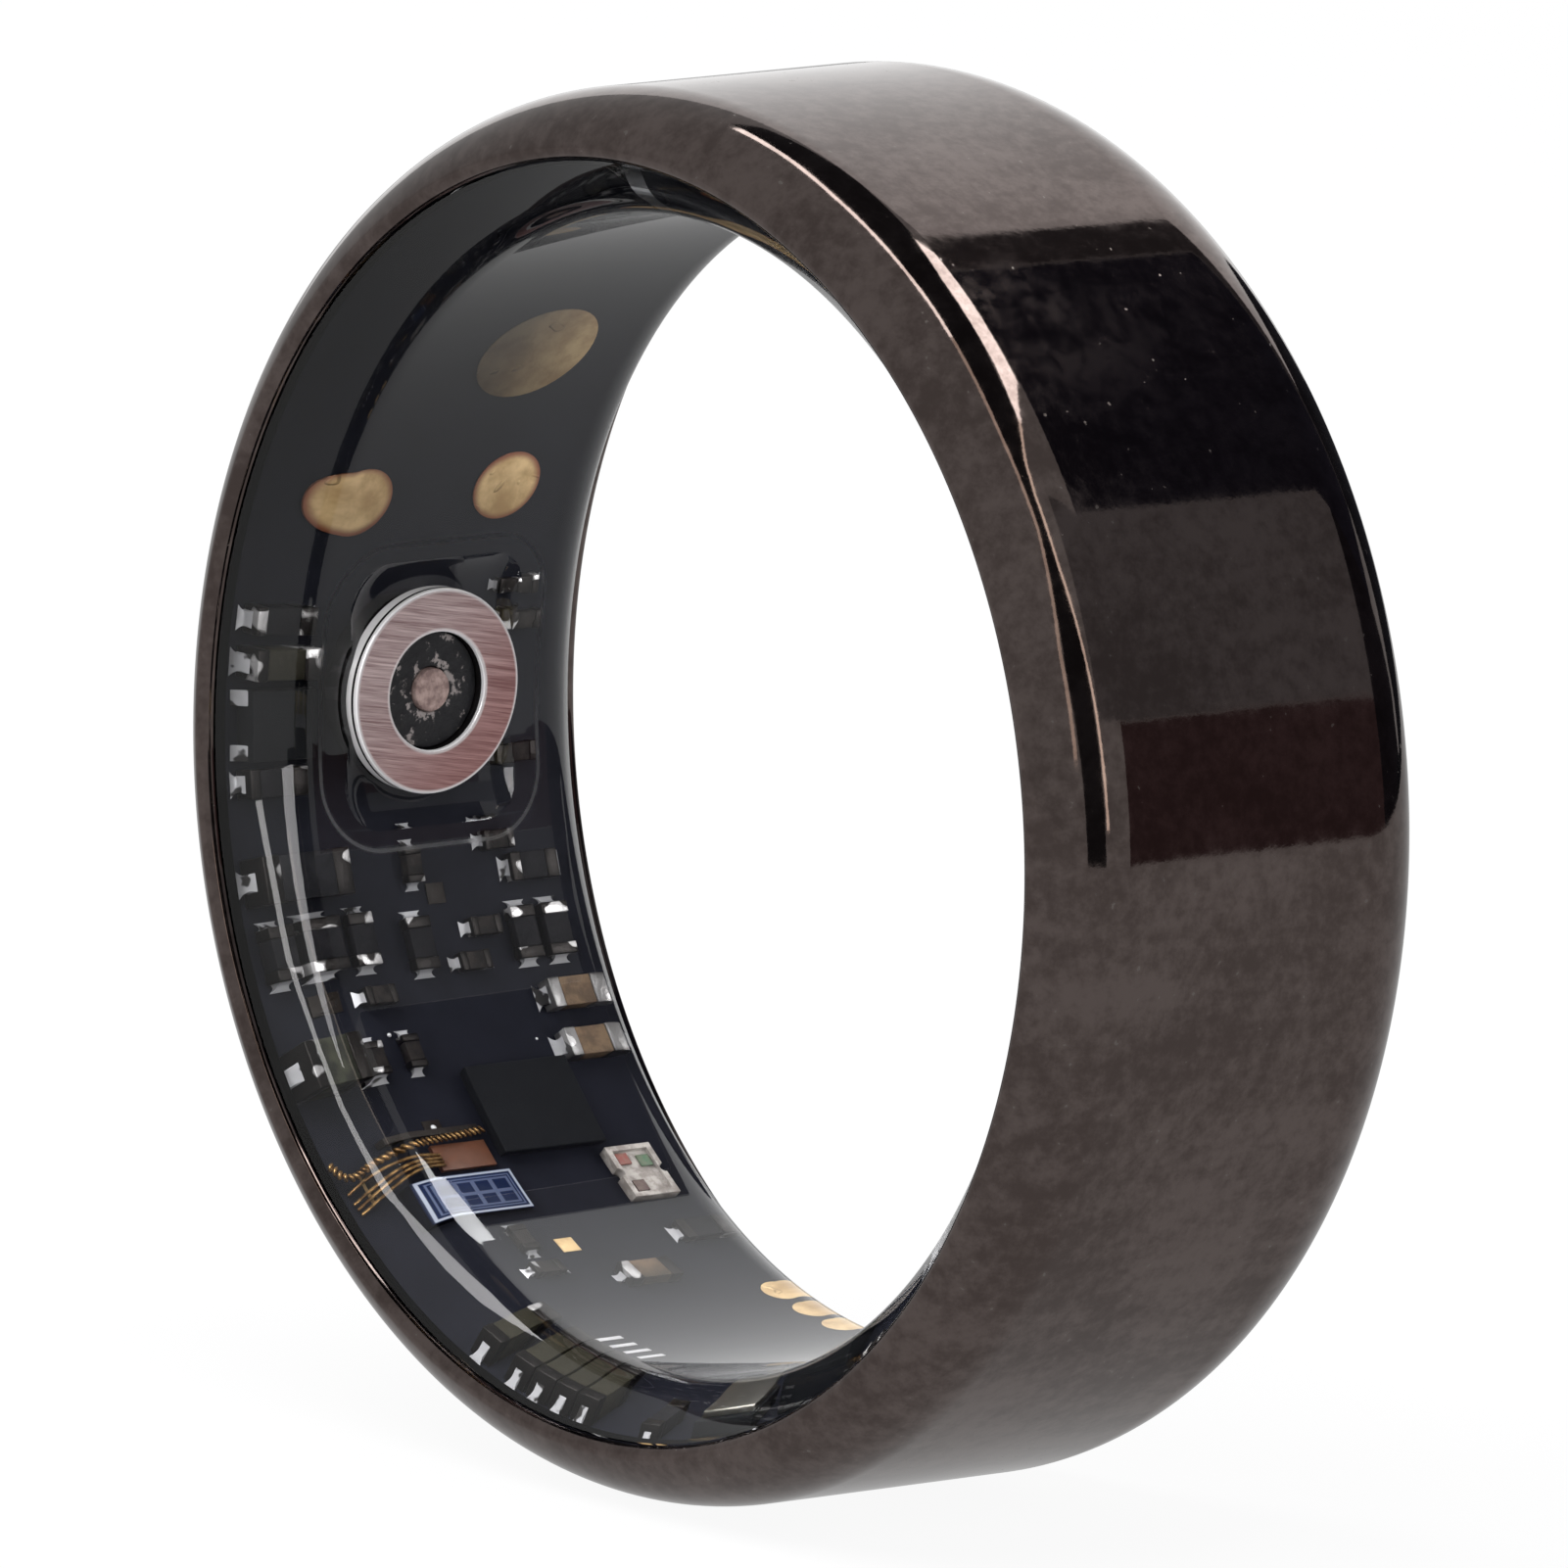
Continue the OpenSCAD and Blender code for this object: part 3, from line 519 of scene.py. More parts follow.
board = draw_outline("circuit_board", [(face_r, -board_half), (face_r, board_half),
                                       (board_back_r, board_half), (board_back_r, -board_half)])
bpy.ops.mesh.edge_face_add()
bpy.ops.transform.rotate(value=-math.pi + board_to_angle, orient_axis="Y", center_override=(0, 0, 0))
turn_outline(board, steps=200, angle=-math.degrees(board_to_angle - board_from_angle))

solder_mask = Finish("black_solder_mask")
cloud = solder_mask.noise(1.5, 4)
mask_tone = solder_mask.mix(cloud, tone(19, 20, 26), tone(27, 28, 36))
solder_mask.set(Base_Color=mask_tone, Roughness=cloud * 0.1 + 0.38, Specular_IOR_Level=0.05)
fit_piece(board, solder_mask, "board", "flex_board")

foil = Finish("cell_foil")
foil.set(Base_Color=tone(196, 197, 200), Metallic=1, Roughness=foil.noise(3, 3) * 0.2 + 0.25)
dress_node(nodes["battery_cell"], foil)
sleeve = Finish("sleeve_film")
sleeve.set(Base_Color=sleeve.mix(sleeve.noise(1, 3), tone(30, 30, 34), tone(38, 38, 42)), Roughness=0.3)
dress_node(nodes["battery_sleeve"], sleeve)
nickel = Finish("nickel_strip")
nickel.set(Base_Color=tone(205, 200, 190), Metallic=1, Roughness=nickel.noise(6, 3) * 0.2 + 0.25)
dress_node(nodes["battery_tabs"], nickel)

# Liner
# Clear epoxy is cast over the board and its parts, and moulded to the bore, two bevels and the
# shallow recess round the contact. It is glossy, with the parts held inside it.
bore_r = 9.1
bevel_y = 3.6
bevel_r = lip_r + 0.004
bore_half = 2.75
bevel_lean = 6
bore_edge_r = 1.1
recess_size = (4.9, 4.4)
recess_r = 1.15
recess_floor_r = 9.22
recess_floor_bevel = 0.09
recess_edge_bevel = 0.05

bevel_turn = 90 - math.degrees(math.atan2(bevel_y - bore_half, bevel_r - bore_r))
bore_edge_y = bore_half - bore_edge_r * math.tan(math.radians(bevel_turn / 2))
liner_side = [(bore_r, 0.01)] + arc((bore_r + bore_edge_r, bore_edge_y), bore_edge_r, 180,
                                    180 - bevel_turn + bevel_lean, 14)
bevel_start = Vector(liner_side[-1])
bevel_run = Vector((bevel_r - 0.03, bevel_y - 0.01)) - bevel_start
bevel_out = Vector((-bevel_run.y, bevel_run.x)).normalized()
bevel_rise = math.radians(90 - bevel_turn + bevel_lean) - math.atan2(bevel_run.y, bevel_run.x)
for i in range(1, 16):
    share = i / 16
    crown = bevel_out * bevel_run.length * math.tan(bevel_rise) * share * (1 - share)
    liner_side.append(tuple(bevel_start + bevel_run * share + crown))
liner_side = liner_side + [(bevel_r - 0.03, bevel_y - 0.01), (bevel_r, bevel_y - 0.04)]
liner_side = liner_side + [(bevel_r, channel_half + 0.004), (face_r + 0.02, channel_half + 0.004)]
liner = turn_outline(draw_outline("clear_liner", both_sides(liner_side)))

deselect()
bpy.ops.mesh.primitive_cube_add(size=1)
cutter = bpy.context.object
cutter.data.transform(Matrix.Diagonal((recess_floor_r * mm, recess_size[1] * mm, recess_size[0] * mm, 1)))
cutter.data.transform(Matrix.Translation((-recess_floor_r / 2 * mm, 0, 0)))


def bevel_edges(piece, chosen, width, segments):
    """Bevels the edges whose two ends pass a test."""
    select_only(piece)
    bpy.ops.object.mode_set(mode="EDIT")
    bpy.ops.mesh.select_all(action="DESELECT")
    bpy.ops.object.mode_set(mode="OBJECT")
    for edge in piece.data.edges:
        start, end = [piece.data.vertices[i].co for i in edge.vertices]
        edge.select = chosen(start, end)
    bpy.ops.object.mode_set(mode="EDIT")
    bpy.ops.mesh.bevel(offset=width * mm, segments=segments)
    bpy.ops.object.mode_set(mode="OBJECT")


def at_corner(start, end):
    """Whether an edge of the cutter runs through the wall, at a corner of the recess."""
    return abs(start.x - end.x) > mm


def round_floor(start, end):
    """Whether an edge of the cutter lies round the floor of the recess."""
    return max(start.x, end.x) < -(recess_floor_r - 0.001) * mm


def on_outline(place):
    """Whether a point of the bore lies on the outline of the recess."""
    if place.x > 0 or abs(math.hypot(place.x, place.z) - bore_r * mm) > 0.003 * mm:
        return False
    along = abs(place.y) / mm - recess_size[1] / 2 + recess_r
    up = abs(place.z) / mm - recess_size[0] / 2 + recess_r
    outside = math.hypot(max(along, 0), max(up, 0)) + min(max(along, up), 0) - recess_r
    return abs(outside) < 0.006


bevel_edges(cutter, at_corner, recess_r, 12)
bevel_edges(cutter, round_floor, recess_floor_bevel, 5)
cut = liner.modifiers.new("recess", "BOOLEAN")
cut.operation = "DIFFERENCE"
cut.solver = "EXACT"
cut.object = cutter
select_only(liner)
bpy.ops.object.modifier_apply(modifier="recess")
bpy.data.objects.remove(cutter)
bevel_edges(liner, lambda start, end: on_outline(start) and on_outline(end), recess_edge_bevel, 4)
smooth_by_angle(liner, 30)

epoxy = Finish("clear_epoxy")
x, y, z = [epoxy.axis(i) for i in range(3)]
beyond_y = epoxy.maths("ABSOLUTE", y) - (recess_size[1] / 2 - recess_r)
beyond_z = epoxy.maths("ABSOLUTE", z) - (recess_size[0] / 2 - recess_r)
corner = (epoxy.maths("MAXIMUM", beyond_y, 0) ** 2 + epoxy.maths("MAXIMUM", beyond_z, 0) ** 2) ** 0.5
side = epoxy.maths("MINIMUM", epoxy.maths("MAXIMUM", beyond_y, beyond_z), 0)
from_outline = corner + side - recess_r
moulded_edge = epoxy.band(from_outline, 0, 0.04, 0.025) * (x < 0)
epoxy.set(Base_Color=(1, 1, 1, 1), Roughness=moulded_edge * 0.3 + 0.012, IOR=1.5, Transmission_Weight=1)
liner.visible_shadow = False
fit_piece(liner, epoxy, "clear_resin", "resin_liner")

# Charging contact
# A turned steel ring with a straight brushed face and polished edges stands on the board. The edges
# of its face are painted bright as a painted highlight, its face is painted copper towards the lower
# far side as a painted reflection, and its walls carry painted highlight bands with painted shade
# between them and in the hole. A black moulded bush inside it holds the centre pin, whose face is a
# little lower.
contact_r = 1.65
contact_hole_r = 0.95
contact_face_x = 8.88
contact_base_x = 10.238
contact_axis = (1, 0, 0)
bush_r = 0.94
bush_bore_r = 0.36
bush_foot_r = 0.55
bush_foot_x = 9.988
bush_face_x = 9.08
pin_r = 0.35
pin_foot_r = 0.54
pin_foot_x = 9.998
pin_face_x = 9


def turn_about_contact(name, points, segments=128):
    """Turns an outline of radius and distance from the ring's axis about the contact's axis."""
    drawn = draw_outline(name, [(-x, r) for r, x in points])
    return turn_outline(drawn, axis=contact_axis, steps=segments)


contact_ring = turn_about_contact("contact_ring_turned", [
    (contact_hole_r, contact_base_x), (contact_r, contact_base_x)]
    + [(contact_r - 0.05 + 0.05 * math.cos(a), contact_face_x + 0.05 - 0.05 * math.sin(a))
       for a in [math.radians(15 * i) for i in range(7)]]
    + [(contact_hole_r + 0.04 - 0.04 * math.cos(a), contact_face_x + 0.04 - 0.04 * math.sin(a))
       for a in [math.radians(90 - 15 * i) for i in range(7)]])

brushed = Finish("brushed_contact_steel")
x, y, z = [brushed.axis(i) for i in range(3)]
tilted = brushed.node("CombineXYZ", None, {0: x * mm, 1: y * mm, 2: (z + y * 0.17) * mm})
lines = brushed.noise(1, 4, 0.7, (0.2, 0.45, 16), tilted)
fine_lines = brushed.noise(1, 2, 0.6, (0.2, 1.2, 40), tilted)
brush = brushed.step(lines * 0.6 + fine_lines * 0.4, 0.3, 0.68)
depth = 0 - x - contact_face_x
on_face = depth < 0.004
out = (y * y + z * z) ** 0.5
rim = 1 - brushed.band(out, (contact_r + contact_hole_r) / 2, (contact_r - contact_hole_r) / 2 - 0.06, 0.02)
silver = brushed.mix(brush, tone(150, 122, 122), tone(226, 204, 203))
# The face is painted copper-toned towards the lower far side, as a painted reflection.
painted_reflection_tone = brushed.mix(brush, tone(138, 94, 93), tone(196, 152, 149))
face_tone = brushed.mix(brushed.step(y - z, -1.6, 2.2), silver, painted_reflection_tone)
# The edges of the face are painted bright, as a painted highlight.
face_tone = brushed.mix(rim, face_tone, tone(238, 228, 228))
# The walls are painted bright in bands as painted highlights, and dark elsewhere and inside the hole as
# painted shade.
painted_side_highlights = brushed.band(depth, 0.215, 0.085, 0.01) * (out > 1.3) + (depth < 0.075)
side_highlight_and_shade = brushed.mix(painted_side_highlights, tone(22, 20, 21), tone(240, 238, 239))
brushed.set(Metallic=on_face * 0.45 + 0.3, Base_Color=brushed.mix(on_face, side_highlight_and_shade, face_tone),
            Roughness=on_face * 0.2 + 0.12, Normal=brushed.bump(brush * on_face, 0.006 * mm))
fit_piece(contact_ring, brushed, "contact_steel", "contact_ring")

bush = turn_about_contact("contact_bush", [
    (bush_foot_r, contact_base_x), (bush_r, contact_base_x), (bush_r, bush_face_x + 0.02),
    (bush_r - 0.02, bush_face_x), (bush_bore_r + 0.02, bush_face_x), (bush_bore_r, bush_face_x + 0.02),
    (bush_bore_r, bush_foot_x), (bush_foot_r, bush_foot_x)])
black_moulding = Finish("black_moulded_bush")
y, z = [black_moulding.axis(i) for i in (1, 2)]
near_pin = black_moulding.band((y * y + z * z) ** 0.5, 0.42, 0.1, 0.05)
flash = black_moulding.step(black_moulding.noise(4, 5, 0.7) + near_pin * 0.07, 0.58, 0.65)
black_moulding.set(Base_Color=black_moulding.mix(flash, tone(22, 22, 25), tone(136, 128, 126)),
                   Roughness=0.45, Normal=black_moulding.bump(black_moulding.noise(4, 4), 0.05 * mm))
fit_piece(bush, black_moulding, "insulator_plastic", "contact_insulator")

pin = turn_about_contact("contact_pin_turned", [
    (0.001, contact_base_x), (pin_foot_r, contact_base_x), (pin_foot_r, pin_foot_x), (pin_r, pin_foot_x),
    (pin_r, pin_face_x + 0.03), (pin_r - 0.015, pin_face_x + 0.005), (pin_r - 0.04, pin_face_x),
    (0.001, pin_face_x)], 64)
dull = Finish("dull_contact_pin")
rubbed = dull.step(dull.noise(5, 4, 0.6), 0.35, 0.65)
dull.set(Base_Color=dull.mix(rubbed, tone(188, 164, 157), tone(136, 114, 110)),
         Metallic=0.5, Roughness=0.5, Normal=dull.bump(dull.noise(12, 3), 0.01 * mm))
fit_piece(pin, dull, "contact_steel", "contact_pin")

# Black chips
# The processor, the charger chip and the sensor and power chips further down are moulded
# packages of black compound, fine matt, soldered to the board.


def softened(node, name, width, segments=3):
    """A closed copy of a node's mesh with its edges rounded."""
    copy = node.copy()
    copy.data = node.data.copy()
    copy.name = name
    copy.parent = None
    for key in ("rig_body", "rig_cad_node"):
        if key in copy:
            del copy[key]
    bpy.context.scene.collection.objects.link(copy)
    select_only(copy)
    bpy.ops.object.mode_set(mode="EDIT")
    bpy.ops.mesh.select_all(action="SELECT")
    bpy.ops.mesh.remove_doubles(threshold=0.0002 * mm)
    bpy.ops.mesh.dissolve_limited(angle_limit=math.radians(1))
    bpy.ops.object.mode_set(mode="OBJECT")
    round_off = copy.modifiers.new("round_off", "BEVEL")
    round_off.width = width * mm
    round_off.segments = segments
    round_off.limit_method = "ANGLE"
    round_off.angle_limit = math.radians(30)
    bpy.ops.object.modifier_apply(modifier="round_off")
    smooth_by_angle(copy, 35)
    return copy


compound = Finish("black_compound")
compound.set(Base_Color=compound.mix(compound.noise(3, 4), tone(19, 20, 22), tone(25, 26, 28)),
             Roughness=0.5, Specular_IOR_Level=0.06,
             Normal=compound.bump(compound.noise(30, 3), 0.004 * mm))
for node in ("main_processor", "charger_chip", "motion_sensor", "power_chip", "protection_chip",
             "crystal_base"):
    fit_piece(softened(nodes[node], node + "_moulded", 0.02), compound, "chip_black", node)

# Solder
# Tin solder wets the metal ends and the pads and sets bright, in fillets that are drawn in at the
# waist. Where a pad took little of it the fillet is small, and a few round beads lie on the board.
fillet_pinch = 0.45
small_fillet = 0.62
wide_reach = 0.32
bottom_z = -9.2


def loose_parts(mesh):
    """The numbers of the points of each loose part of a mesh."""
    part = list(range(len(mesh.vertices)))

    def first(i):
        while part[i] != i:
            part[i] = part[part[i]]
            i = part[i]
        return i

    for edge in mesh.edges:
        part[first(edge.vertices[0])] = first(edge.vertices[1])
    loose = {}
    for i in range(len(mesh.vertices)):
        loose.setdefault(first(i), []).append(i)
    return loose.values()


def waisted(node, name, pinch):
    """A closed copy of a node's mesh, each loose part of it drawn in at the middle of its run."""
    copy = softened(node, name, 0.006, 1)
    select_only(copy)
    bpy.ops.object.mode_set(mode="EDIT")
    bpy.ops.mesh.select_all(action="SELECT")
    bpy.ops.mesh.quads_convert_to_tris()
    bpy.ops.mesh.subdivide(number_cuts=2)
    bpy.ops.object.mode_set(mode="OBJECT")
    vertices = copy.data.vertices
    for members in loose_parts(copy.data):
        middle = sum((vertices[i].co for i in members), Vector()) / len(members)
        along = Vector((0, 1, 0))
        around = Vector((-middle.z, 0, middle.x)).normalized()
        reach = [max(abs((vertices[i].co - middle).dot(way)) for i in members) for way in (along, around)]
        run, across = (along, around) if reach[0] <= reach[1] * 1.05 else (around, along)
        small = middle.z < bottom_z * mm or max(reach) > wide_reach * mm
        size = small_fillet if small else 1
        for i in members:
            away = vertices[i].co - middle
            share = away.dot(run) / min(reach)
            away = away - across * (away.dot(across) * pinch * max(0, 1 - share * share))
            over_board = along * away.dot(along) + around * away.dot(around)
            vertices[i].co = middle + away - over_board * (1 - size)
    smooth_by_angle(copy, 50)
    return copy


def on_ring(turn, along, radius):
    """A point from its angle from +X upwards, its place along the finger and its radius."""
    turn = math.radians(turn)
    return Vector((math.cos(turn) * radius, along, math.sin(turn) * radius)) * mm


def join(pieces):
    """Joins the pieces to the first one."""
    deselect()
    for piece in pieces:
        piece.select_set(True)
    bpy.context.view_layer.objects.active = pieces[0]
    bpy.ops.object.join()
    smooth_by_angle(pieces[0], 60)
    return pieces[0]


tin = Finish("bright_solder")
ripple = tin.noise(5, 3, 0.6)
# Dark patches on the solder are a painted reflection of dark surroundings between its bright parts.
painted_dark_reflection = tin.step(tin.noise(2.4, 2, 0.5), 0.57, 0.62)
tin.set(Base_Color=tin.mix(painted_dark_reflection, tone(236, 236, 240), tone(70, 68, 68)), Metallic=0.5,
        Roughness=tin.noise(4, 2) * 0.2 + 0.12, Normal=tin.bump(ripple, 0.008 * mm))
for node in ("processor_balls", "charger_terminals", "contact_solder", "solder_fillets"):
    if node == "contact_solder":
        dress_node(nodes[node], tin)
    else:
        pinch = fillet_pinch if node == "solder_fillets" else 0
        fit_piece(waisted(nodes[node], node + "_flowed", pinch), tin, "solder", node)

beads = []
for turn, along, radius in ((222.9, -1.18, 0.055), (212.9, -1.27, 0.04), (213.1, -1.87, 0.045),
                            (218.3, -3.1, 0.03), (221.5, 1.2, 0.025), (215.0, 1.57, 0.025)):
    deselect()
    bpy.ops.mesh.primitive_uv_sphere_add(segments=20, ring_count=12, radius=radius * mm)
    sunk_r = face_r - radius * 0.6
    bpy.context.object.data.transform(Matrix.Translation(on_ring(turn, along, sunk_r)))
    beads.append(bpy.context.object)
beads = join(beads)
beads.name = "solder_beads"
bead_tin = Finish("solder_bead")
bead_tin.set(Base_Color=bead_tin.mix(bead_tin.noise(9, 2), tone(250, 250, 252), tone(214, 214, 218)),
             Metallic=0.3, Roughness=0.15)
fit_piece(beads, bead_tin, "solder")

# Ceramic capacitors and other two-ended parts
# Each is a fired ceramic block with plated metal caps on both ends, soldered at those ends.
# The caps are painted dark as painted reflection, with bright patches as painted highlights: extra ones 30
# to 38 degrees down on the far side, and none at the bottom of the ring.
plating = Finish("tin_plate_painted_glints")
turn, along, radius = plating.ring_place()
painted_cap_glints = plating.step(plating.noise(2, 1), 0.57, 0.61) * (plating.axis(2) > bottom_z)
painted_cap_glints = painted_cap_glints + plating.band(turn, 33.7, 4, 0.5) * (along > 1.9) * 0.4
plating.set(Base_Color=plating.mix(painted_cap_glints, tone(46, 43, 42), tone(214, 212, 212)),
            Metallic=0.85 - painted_cap_glints * 0.2, Roughness=0.35 - painted_cap_glints * 0.15,
            Normal=plating.bump(plating.noise(20, 2), 0.006 * mm))
fired = {
    "large_capacitor_bodies": ("tan_ceramic", tone(110, 92, 74), tone(86, 72, 60), "capacitor_tan"),
    "small_capacitor_bodies": ("brown_ceramic", tone(40, 36, 34), tone(25, 23, 23), "capacitor_brown"),
    "resistor_bodies": ("black_glaze", tone(18, 18, 21), tone(25, 24, 27), "resistor_black"),
    "ferrite_body": ("dark_ferrite", tone(30, 30, 33), tone(20, 20, 23), "ferrite_black"),
    "power_inductor": ("olive_powder", tone(56, 57, 47), tone(32, 33, 29), "inductor_olive"),
    "chip_antenna": ("white_ceramic", tone(222, 222, 216), tone(204, 204, 196), "antenna_ceramic"),
}
for node, (name, light, dark, slot) in fired.items():
    ceramic = Finish(name)
    fired_tone = ceramic.mix(ceramic.step(ceramic.noise(4, 4, 0.6), 0.35, 0.65), dark, light)
    # The large capacitors at the bottom of the ring and beside the contact are of an olive make.
    if node == "large_capacitor_bodies":
        turn, along, radius = ceramic.ring_place()
        olive = ceramic.step(turn, 63, 68) + ceramic.band(turn, -3, 4, 1)
        fired_tone = ceramic.mix(olive, fired_tone, tone(44, 42, 34))
    ceramic.set(Base_Color=fired_tone, Roughness=0.5, Specular_IOR_Level=0.1,
                Normal=ceramic.bump(ceramic.noise(16, 3), 0.008 * mm))
    fit_piece(softened(nodes[node], name + "_blocks", 0.012, 2), ceramic, slot, node)
for node in ("large_capacitor_ends", "small_capacitor_ends", "resistor_ends", "ferrite_ends",
             "inductor_ends"):
    fit_piece(softened(nodes[node], node + "_caps", 0.02, 2), plating, "tin_plate", node)
fit_piece(softened(nodes["antenna_ends"], "antenna_end_caps", 0.02, 2), tin, "solder", "antenna_ends")
lid = Finish("plated_lid")
lid.set(Base_Color=tone(200, 196, 186), Metallic=1, Roughness=lid.noise(5, 2) * 0.15 + 0.3)
fit_piece(softened(nodes["crystal_lid"], "crystal_lid_pressed", 0.04, 3), lid, "lid_metal", "crystal_lid")

# Gold pads
# Bare copper pads of the board with a thin gold plating, tan and satin, darker round the rim. Some
# are tarnished, those high above the contact are painted darker towards the near side as painted
# shade, and the short strokes beside the bottom row are tinned.
gold = Finish("gold_plating")
turn, along, radius = gold.ring_place()
mottle = gold.step(gold.noise(1.6, 4, 0.6), 0.3, 0.7)
dimple = gold.step(gold.noise(2.4, 1), 0.68, 0.72)
gold_tone = gold.mix(mottle, tone(190, 154, 104), tone(236, 204, 150))
from_middle = ((turn + 18.9) * face_r * math.radians(1)) ** 2
from_middle = from_middle + (gold.maths("ABSOLUTE", along - 0.035) - 1.485) ** 2
worn_rim = gold.step(from_middle ** 0.5, 0.5, 0.66) * gold.band(turn, -19, 6, 0.5)
gold_tone = gold.mix(worn_rim * 0.9, gold_tone, tone(124, 54, 36))
tarnish_and_shade = gold.band(turn, 24.5, 7, 0.5) + gold.band(turn, 43.5, 3, 0.5) + (radius < 10.3) * (turn > 40)
# Pads more than 27 degrees above the contact are painted dark, less so towards the far side, as painted
# shade.
tarnish_and_shade = tarnish_and_shade + (turn < -27) * (0.85 - gold.step(along, 0, 2) * 0.5)
gold_tone = gold.mix(tarnish_and_shade, gold_tone, tone(34, 28, 24))
tinned = gold.band(turn, 78.5, 4, 0.2) * gold.band(along, -1.3, 0.4, 0.05)
gold_tone = gold.mix(tinned, gold_tone, tone(214, 213, 216))
gold.set(Base_Color=gold_tone, Metallic=0.4, Roughness=gold.noise(5, 2) * 0.2 + 0.38,
         Normal=gold.bump(dimple + mottle * 0.4, 0.03 * mm))
fit_piece(softened(nodes["gold_pads"], "gold_pads_plated", 0.008, 2), gold, "gold_pad", "gold_pads")

# Optical sensor
# A bare brown sensor die and a blue photodiode lie side by side. Gold wires join them to the
# board in a comb over one edge and in a fan at the near end.
die_glass = Finish("brown_die")
die_glass.set(Base_Color=die_glass.mix(die_glass.noise(5, 3), tone(100, 62, 43), tone(72, 45, 33)),
              Roughness=0.3)
fit_piece(softened(nodes["sensor_die"], "sensor_die_cut", 0.008, 2), die_glass, "sensor_die", "sensor_die")

silicon = Finish("blue_photodiode")
turn, along, radius = silicon.ring_place()
across = (turn - 51.2) * 0.181
from_edge = silicon.maths("MINIMUM", 0.45 - silicon.maths("ABSOLUTE", across),
                          0.875 - silicon.maths("ABSOLUTE", along + 1.125))
column = silicon.maths("FRACT", (along + 1.84) / 0.3575)
row = silicon.maths("FRACT", (across + 0.29) / 0.29)
window = silicon.band(column, 0.5, 0.38, 0.03) * silicon.band(row, 0.5, 0.38, 0.03)
frame_line = silicon.band(from_edge, 0.035, 0.022, 0.008)
inner_line = silicon.band(from_edge, 0.115, 0.012, 0.006)
grid = (1 - window) * (from_edge > 0.155)
blue = silicon.mix(silicon.noise(5, 2), tone(18, 26, 50), tone(25, 34, 62))
blue = silicon.mix(grid * 0.5 + inner_line * 0.6, blue, tone(100, 110, 138))
blue = silicon.mix(frame_line, blue, tone(150, 156, 170))
blue = silicon.mix(radius > 10.19, blue, tone(9, 11, 20))
silicon.set(Base_Color=blue, Roughness=0.18, Specular_IOR_Level=0.2)
fit_piece(softened(nodes["photodiode"], "photodiode_cut", 0.008, 2), silicon, "photodiode", "photodiode")

gold_wire = Finish("drawn_gold_wire")
gold_wire.set(Base_Color=gold_wire.mix(gold_wire.step(gold_wire.noise(6, 2), 0.4, 0.6), tone(192, 154, 102),
                                       tone(112, 82, 50)), Metallic=0.8, Roughness=0.25)

rope_path = [(224.1, -0.4, 10.1), (224.45, -1.02, 10.1), (224.7, -1.65, 10.1), (225.1, -2.0, 10.1),
             (225.75, -2.47, 10.1), (226.3, -2.77, 10.13), (226.05, -2.95, 10.16), (225.0, -3.05, 10.2),
             (224.3, -3.1, 10.22)]
rope_pitch = 0.1
fan_paths = [[(226.2, -1.4, 10.18), (226.2, -2.0, 10.07), (226.8, -2.57, 10.12), (227.5, -2.92, 10.34)],
             [(226.6, -1.4, 10.18), (226.8, -1.95, 10.07), (227.7, -2.45, 10.12), (228.6, -2.9, 10.34)],
             [(227.0, -1.4, 10.18), (227.2, -1.9, 10.07), (228.2, -2.4, 10.12), (229.2, -2.88, 10.34)],
             [(227.4, -1.4, 10.18), (227.7, -1.9, 10.07), (228.8, -2.35, 10.12), (229.8, -2.86, 10.34)]]
wire_r = 0.034


def smooth_path(path, parts=6):
    """Points of a smooth path through the given points."""
    points = [Vector(p) for p in path]
    points = [points[0] * 2 - points[1]] + points + [points[-1] * 2 - points[-2]]
    smooth = []
    for a, b, c, d in zip(points, points[1:], points[2:], points[3:]):
        for i in range(parts):
            t = i / parts
            bend = (a * 2 - b * 5 + c * 4 - d) * t ** 2 + (b * 3 - a - c * 3 + d) * t ** 3
            smooth.append(on_ring(*((b * 2 + (c - a) * t + bend) / 2)))
    return smooth + [on_ring(*points[-2])]


def even_points(path, pitch):
    """Points along a path of straight runs, a pitch apart, each with its run's direction."""
    points = []
    left = 0
    for start, end in zip(path, path[1:]):
        run = end - start
        while left < run.length:
            points.append((start + run.normalized() * left, run.normalized()))
            left = left + pitch
        left = left - run.length
    return points


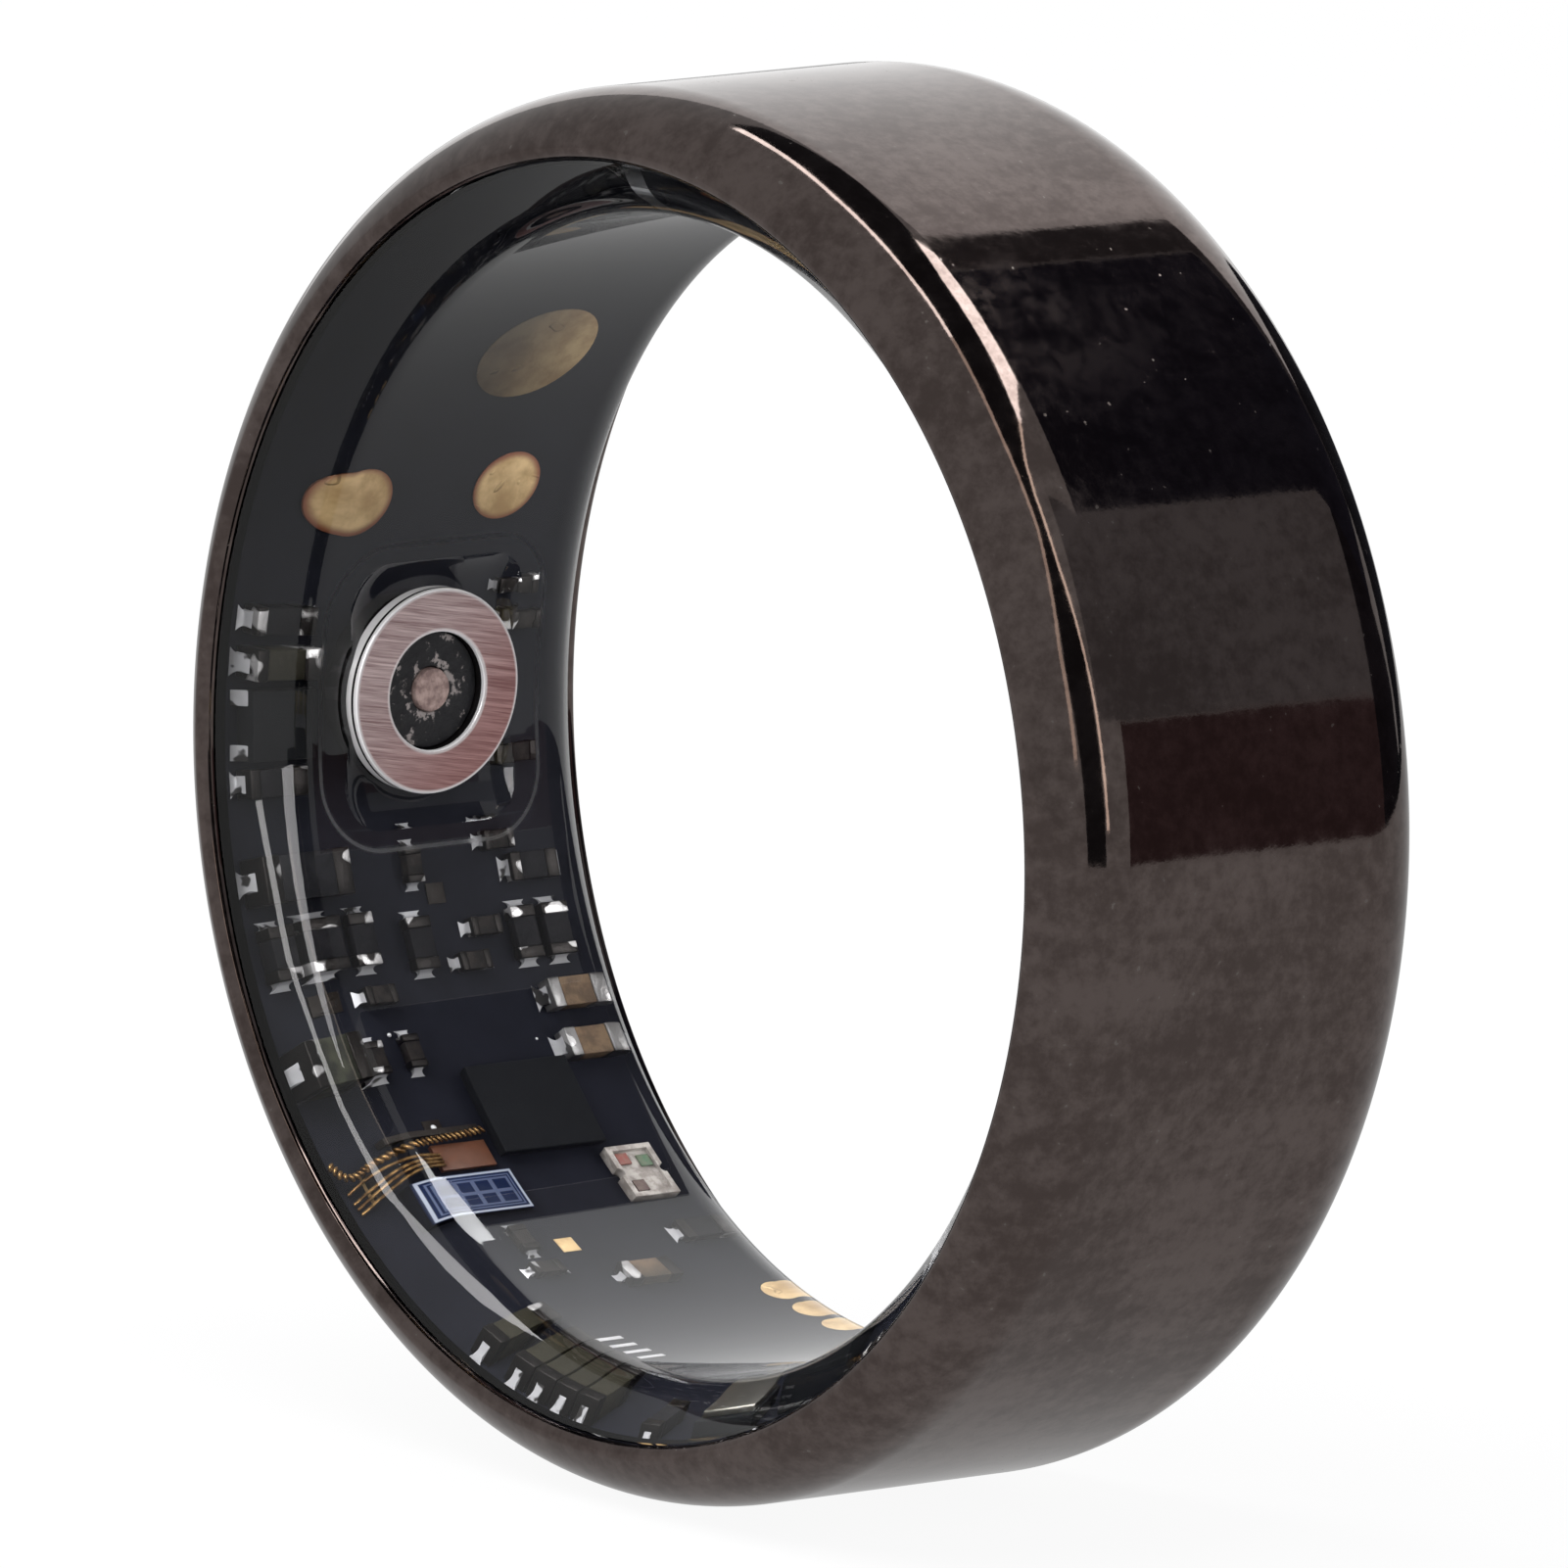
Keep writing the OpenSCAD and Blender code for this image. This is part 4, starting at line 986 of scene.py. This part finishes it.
def tube(name, path, radius):
    """A round wire along a path."""
    deselect()
    bpy.ops.mesh.primitive_plane_add(size=mm)
    wire = bpy.context.object
    wire.name = name
    bpy.ops.object.mode_set(mode="EDIT")
    bpy.ops.mesh.merge(type="CENTER")
    bpy.ops.transform.translate(value=path[0])
    for start, end in zip(path, path[1:]):
        bpy.ops.mesh.extrude_region_move(TRANSFORM_OT_translate={"value": end - start})
    bpy.ops.object.mode_set(mode="OBJECT")
    bpy.ops.object.modifier_add(type="SKIN")
    for point in wire.data.skin_vertices[0].data:
        point.radius = (radius, radius)
    bpy.ops.object.modifier_apply(modifier=wire.modifiers[0].name)
    rounding = wire.modifiers.new("rounding", "SUBSURF")
    rounding.levels = 1
    rounding.render_levels = 1
    bpy.ops.object.modifier_apply(modifier="rounding")
    return wire


wires = [tube("bond_wires_drawn", smooth_path(path), wire_r * mm) for path in fan_paths]
for place, run in even_points(smooth_path(rope_path), rope_pitch * mm):
    deselect()
    bpy.ops.mesh.primitive_torus_add(major_segments=14, minor_segments=8, major_radius=0.056 * mm,
                                     minor_radius=0.03 * mm)
    loop = bpy.context.object
    lean = Matrix.Rotation(math.radians(34), 4, "X")
    loop.data.transform(Matrix.Translation(place) @ run.to_track_quat("Z", "Y").to_matrix().to_4x4() @ lean)
    wires.append(loop)
fit_piece(join(wires), gold_wire, "gold_wire", "bond_wires")

# Light package
# A white reflector case with three emitter dies in its well and a half round notch in each side.
reflector = Finish("white_reflector")
cloudy = reflector.step(reflector.noise(4, 4, 0.6), 0.4, 0.62)
reflector.set(Base_Color=reflector.mix(cloudy, tone(176, 170, 165), tone(134, 127, 122)), Roughness=0.3)
fit_piece(softened(nodes["led_package"], "led_case", 0.015, 2), reflector, "led_white", "led_package")
for node, shade, slot in (("red_led_die", tone(140, 50, 48), "red_die"),
                          ("green_led_die", tone(52, 104, 76), "green_die"),
                          ("infrared_led_die", tone(70, 44, 52), "infrared_die")):
    emitter = Finish(node + "_glass")
    emitter.set(Base_Color=emitter.mix(emitter.noise(9, 2), shade, tone(120, 110, 100)), Roughness=0.2)
    fit_piece(softened(nodes[node], node + "_cut", 0.01, 2), emitter, slot, node)

# Lamps for one piece
# Some lamps of the studio light one kind of piece alone: the strips light the parts in the resin,
# the line lamps the surface of the resin, and the wedge lamp the shell.


def light_only(lamps, name, pieces):
    """Makes the lamps light only those pieces."""
    group = bpy.data.collections.new(name)
    for piece in pieces:
        group.objects.link(piece)
    for lamp in lamps:
        lamp.light_linking.receiver_collection = group


inner_parts = [piece for piece in bpy.context.scene.objects
               if piece.type == "MESH" and piece not in (shell, floor, liner)]
light_only(strip_lamps, "inner_parts", inner_parts)
light_only(liner_lamps, "resin_only", [liner])
light_only([wedge_lamp], "metal_only", [shell])
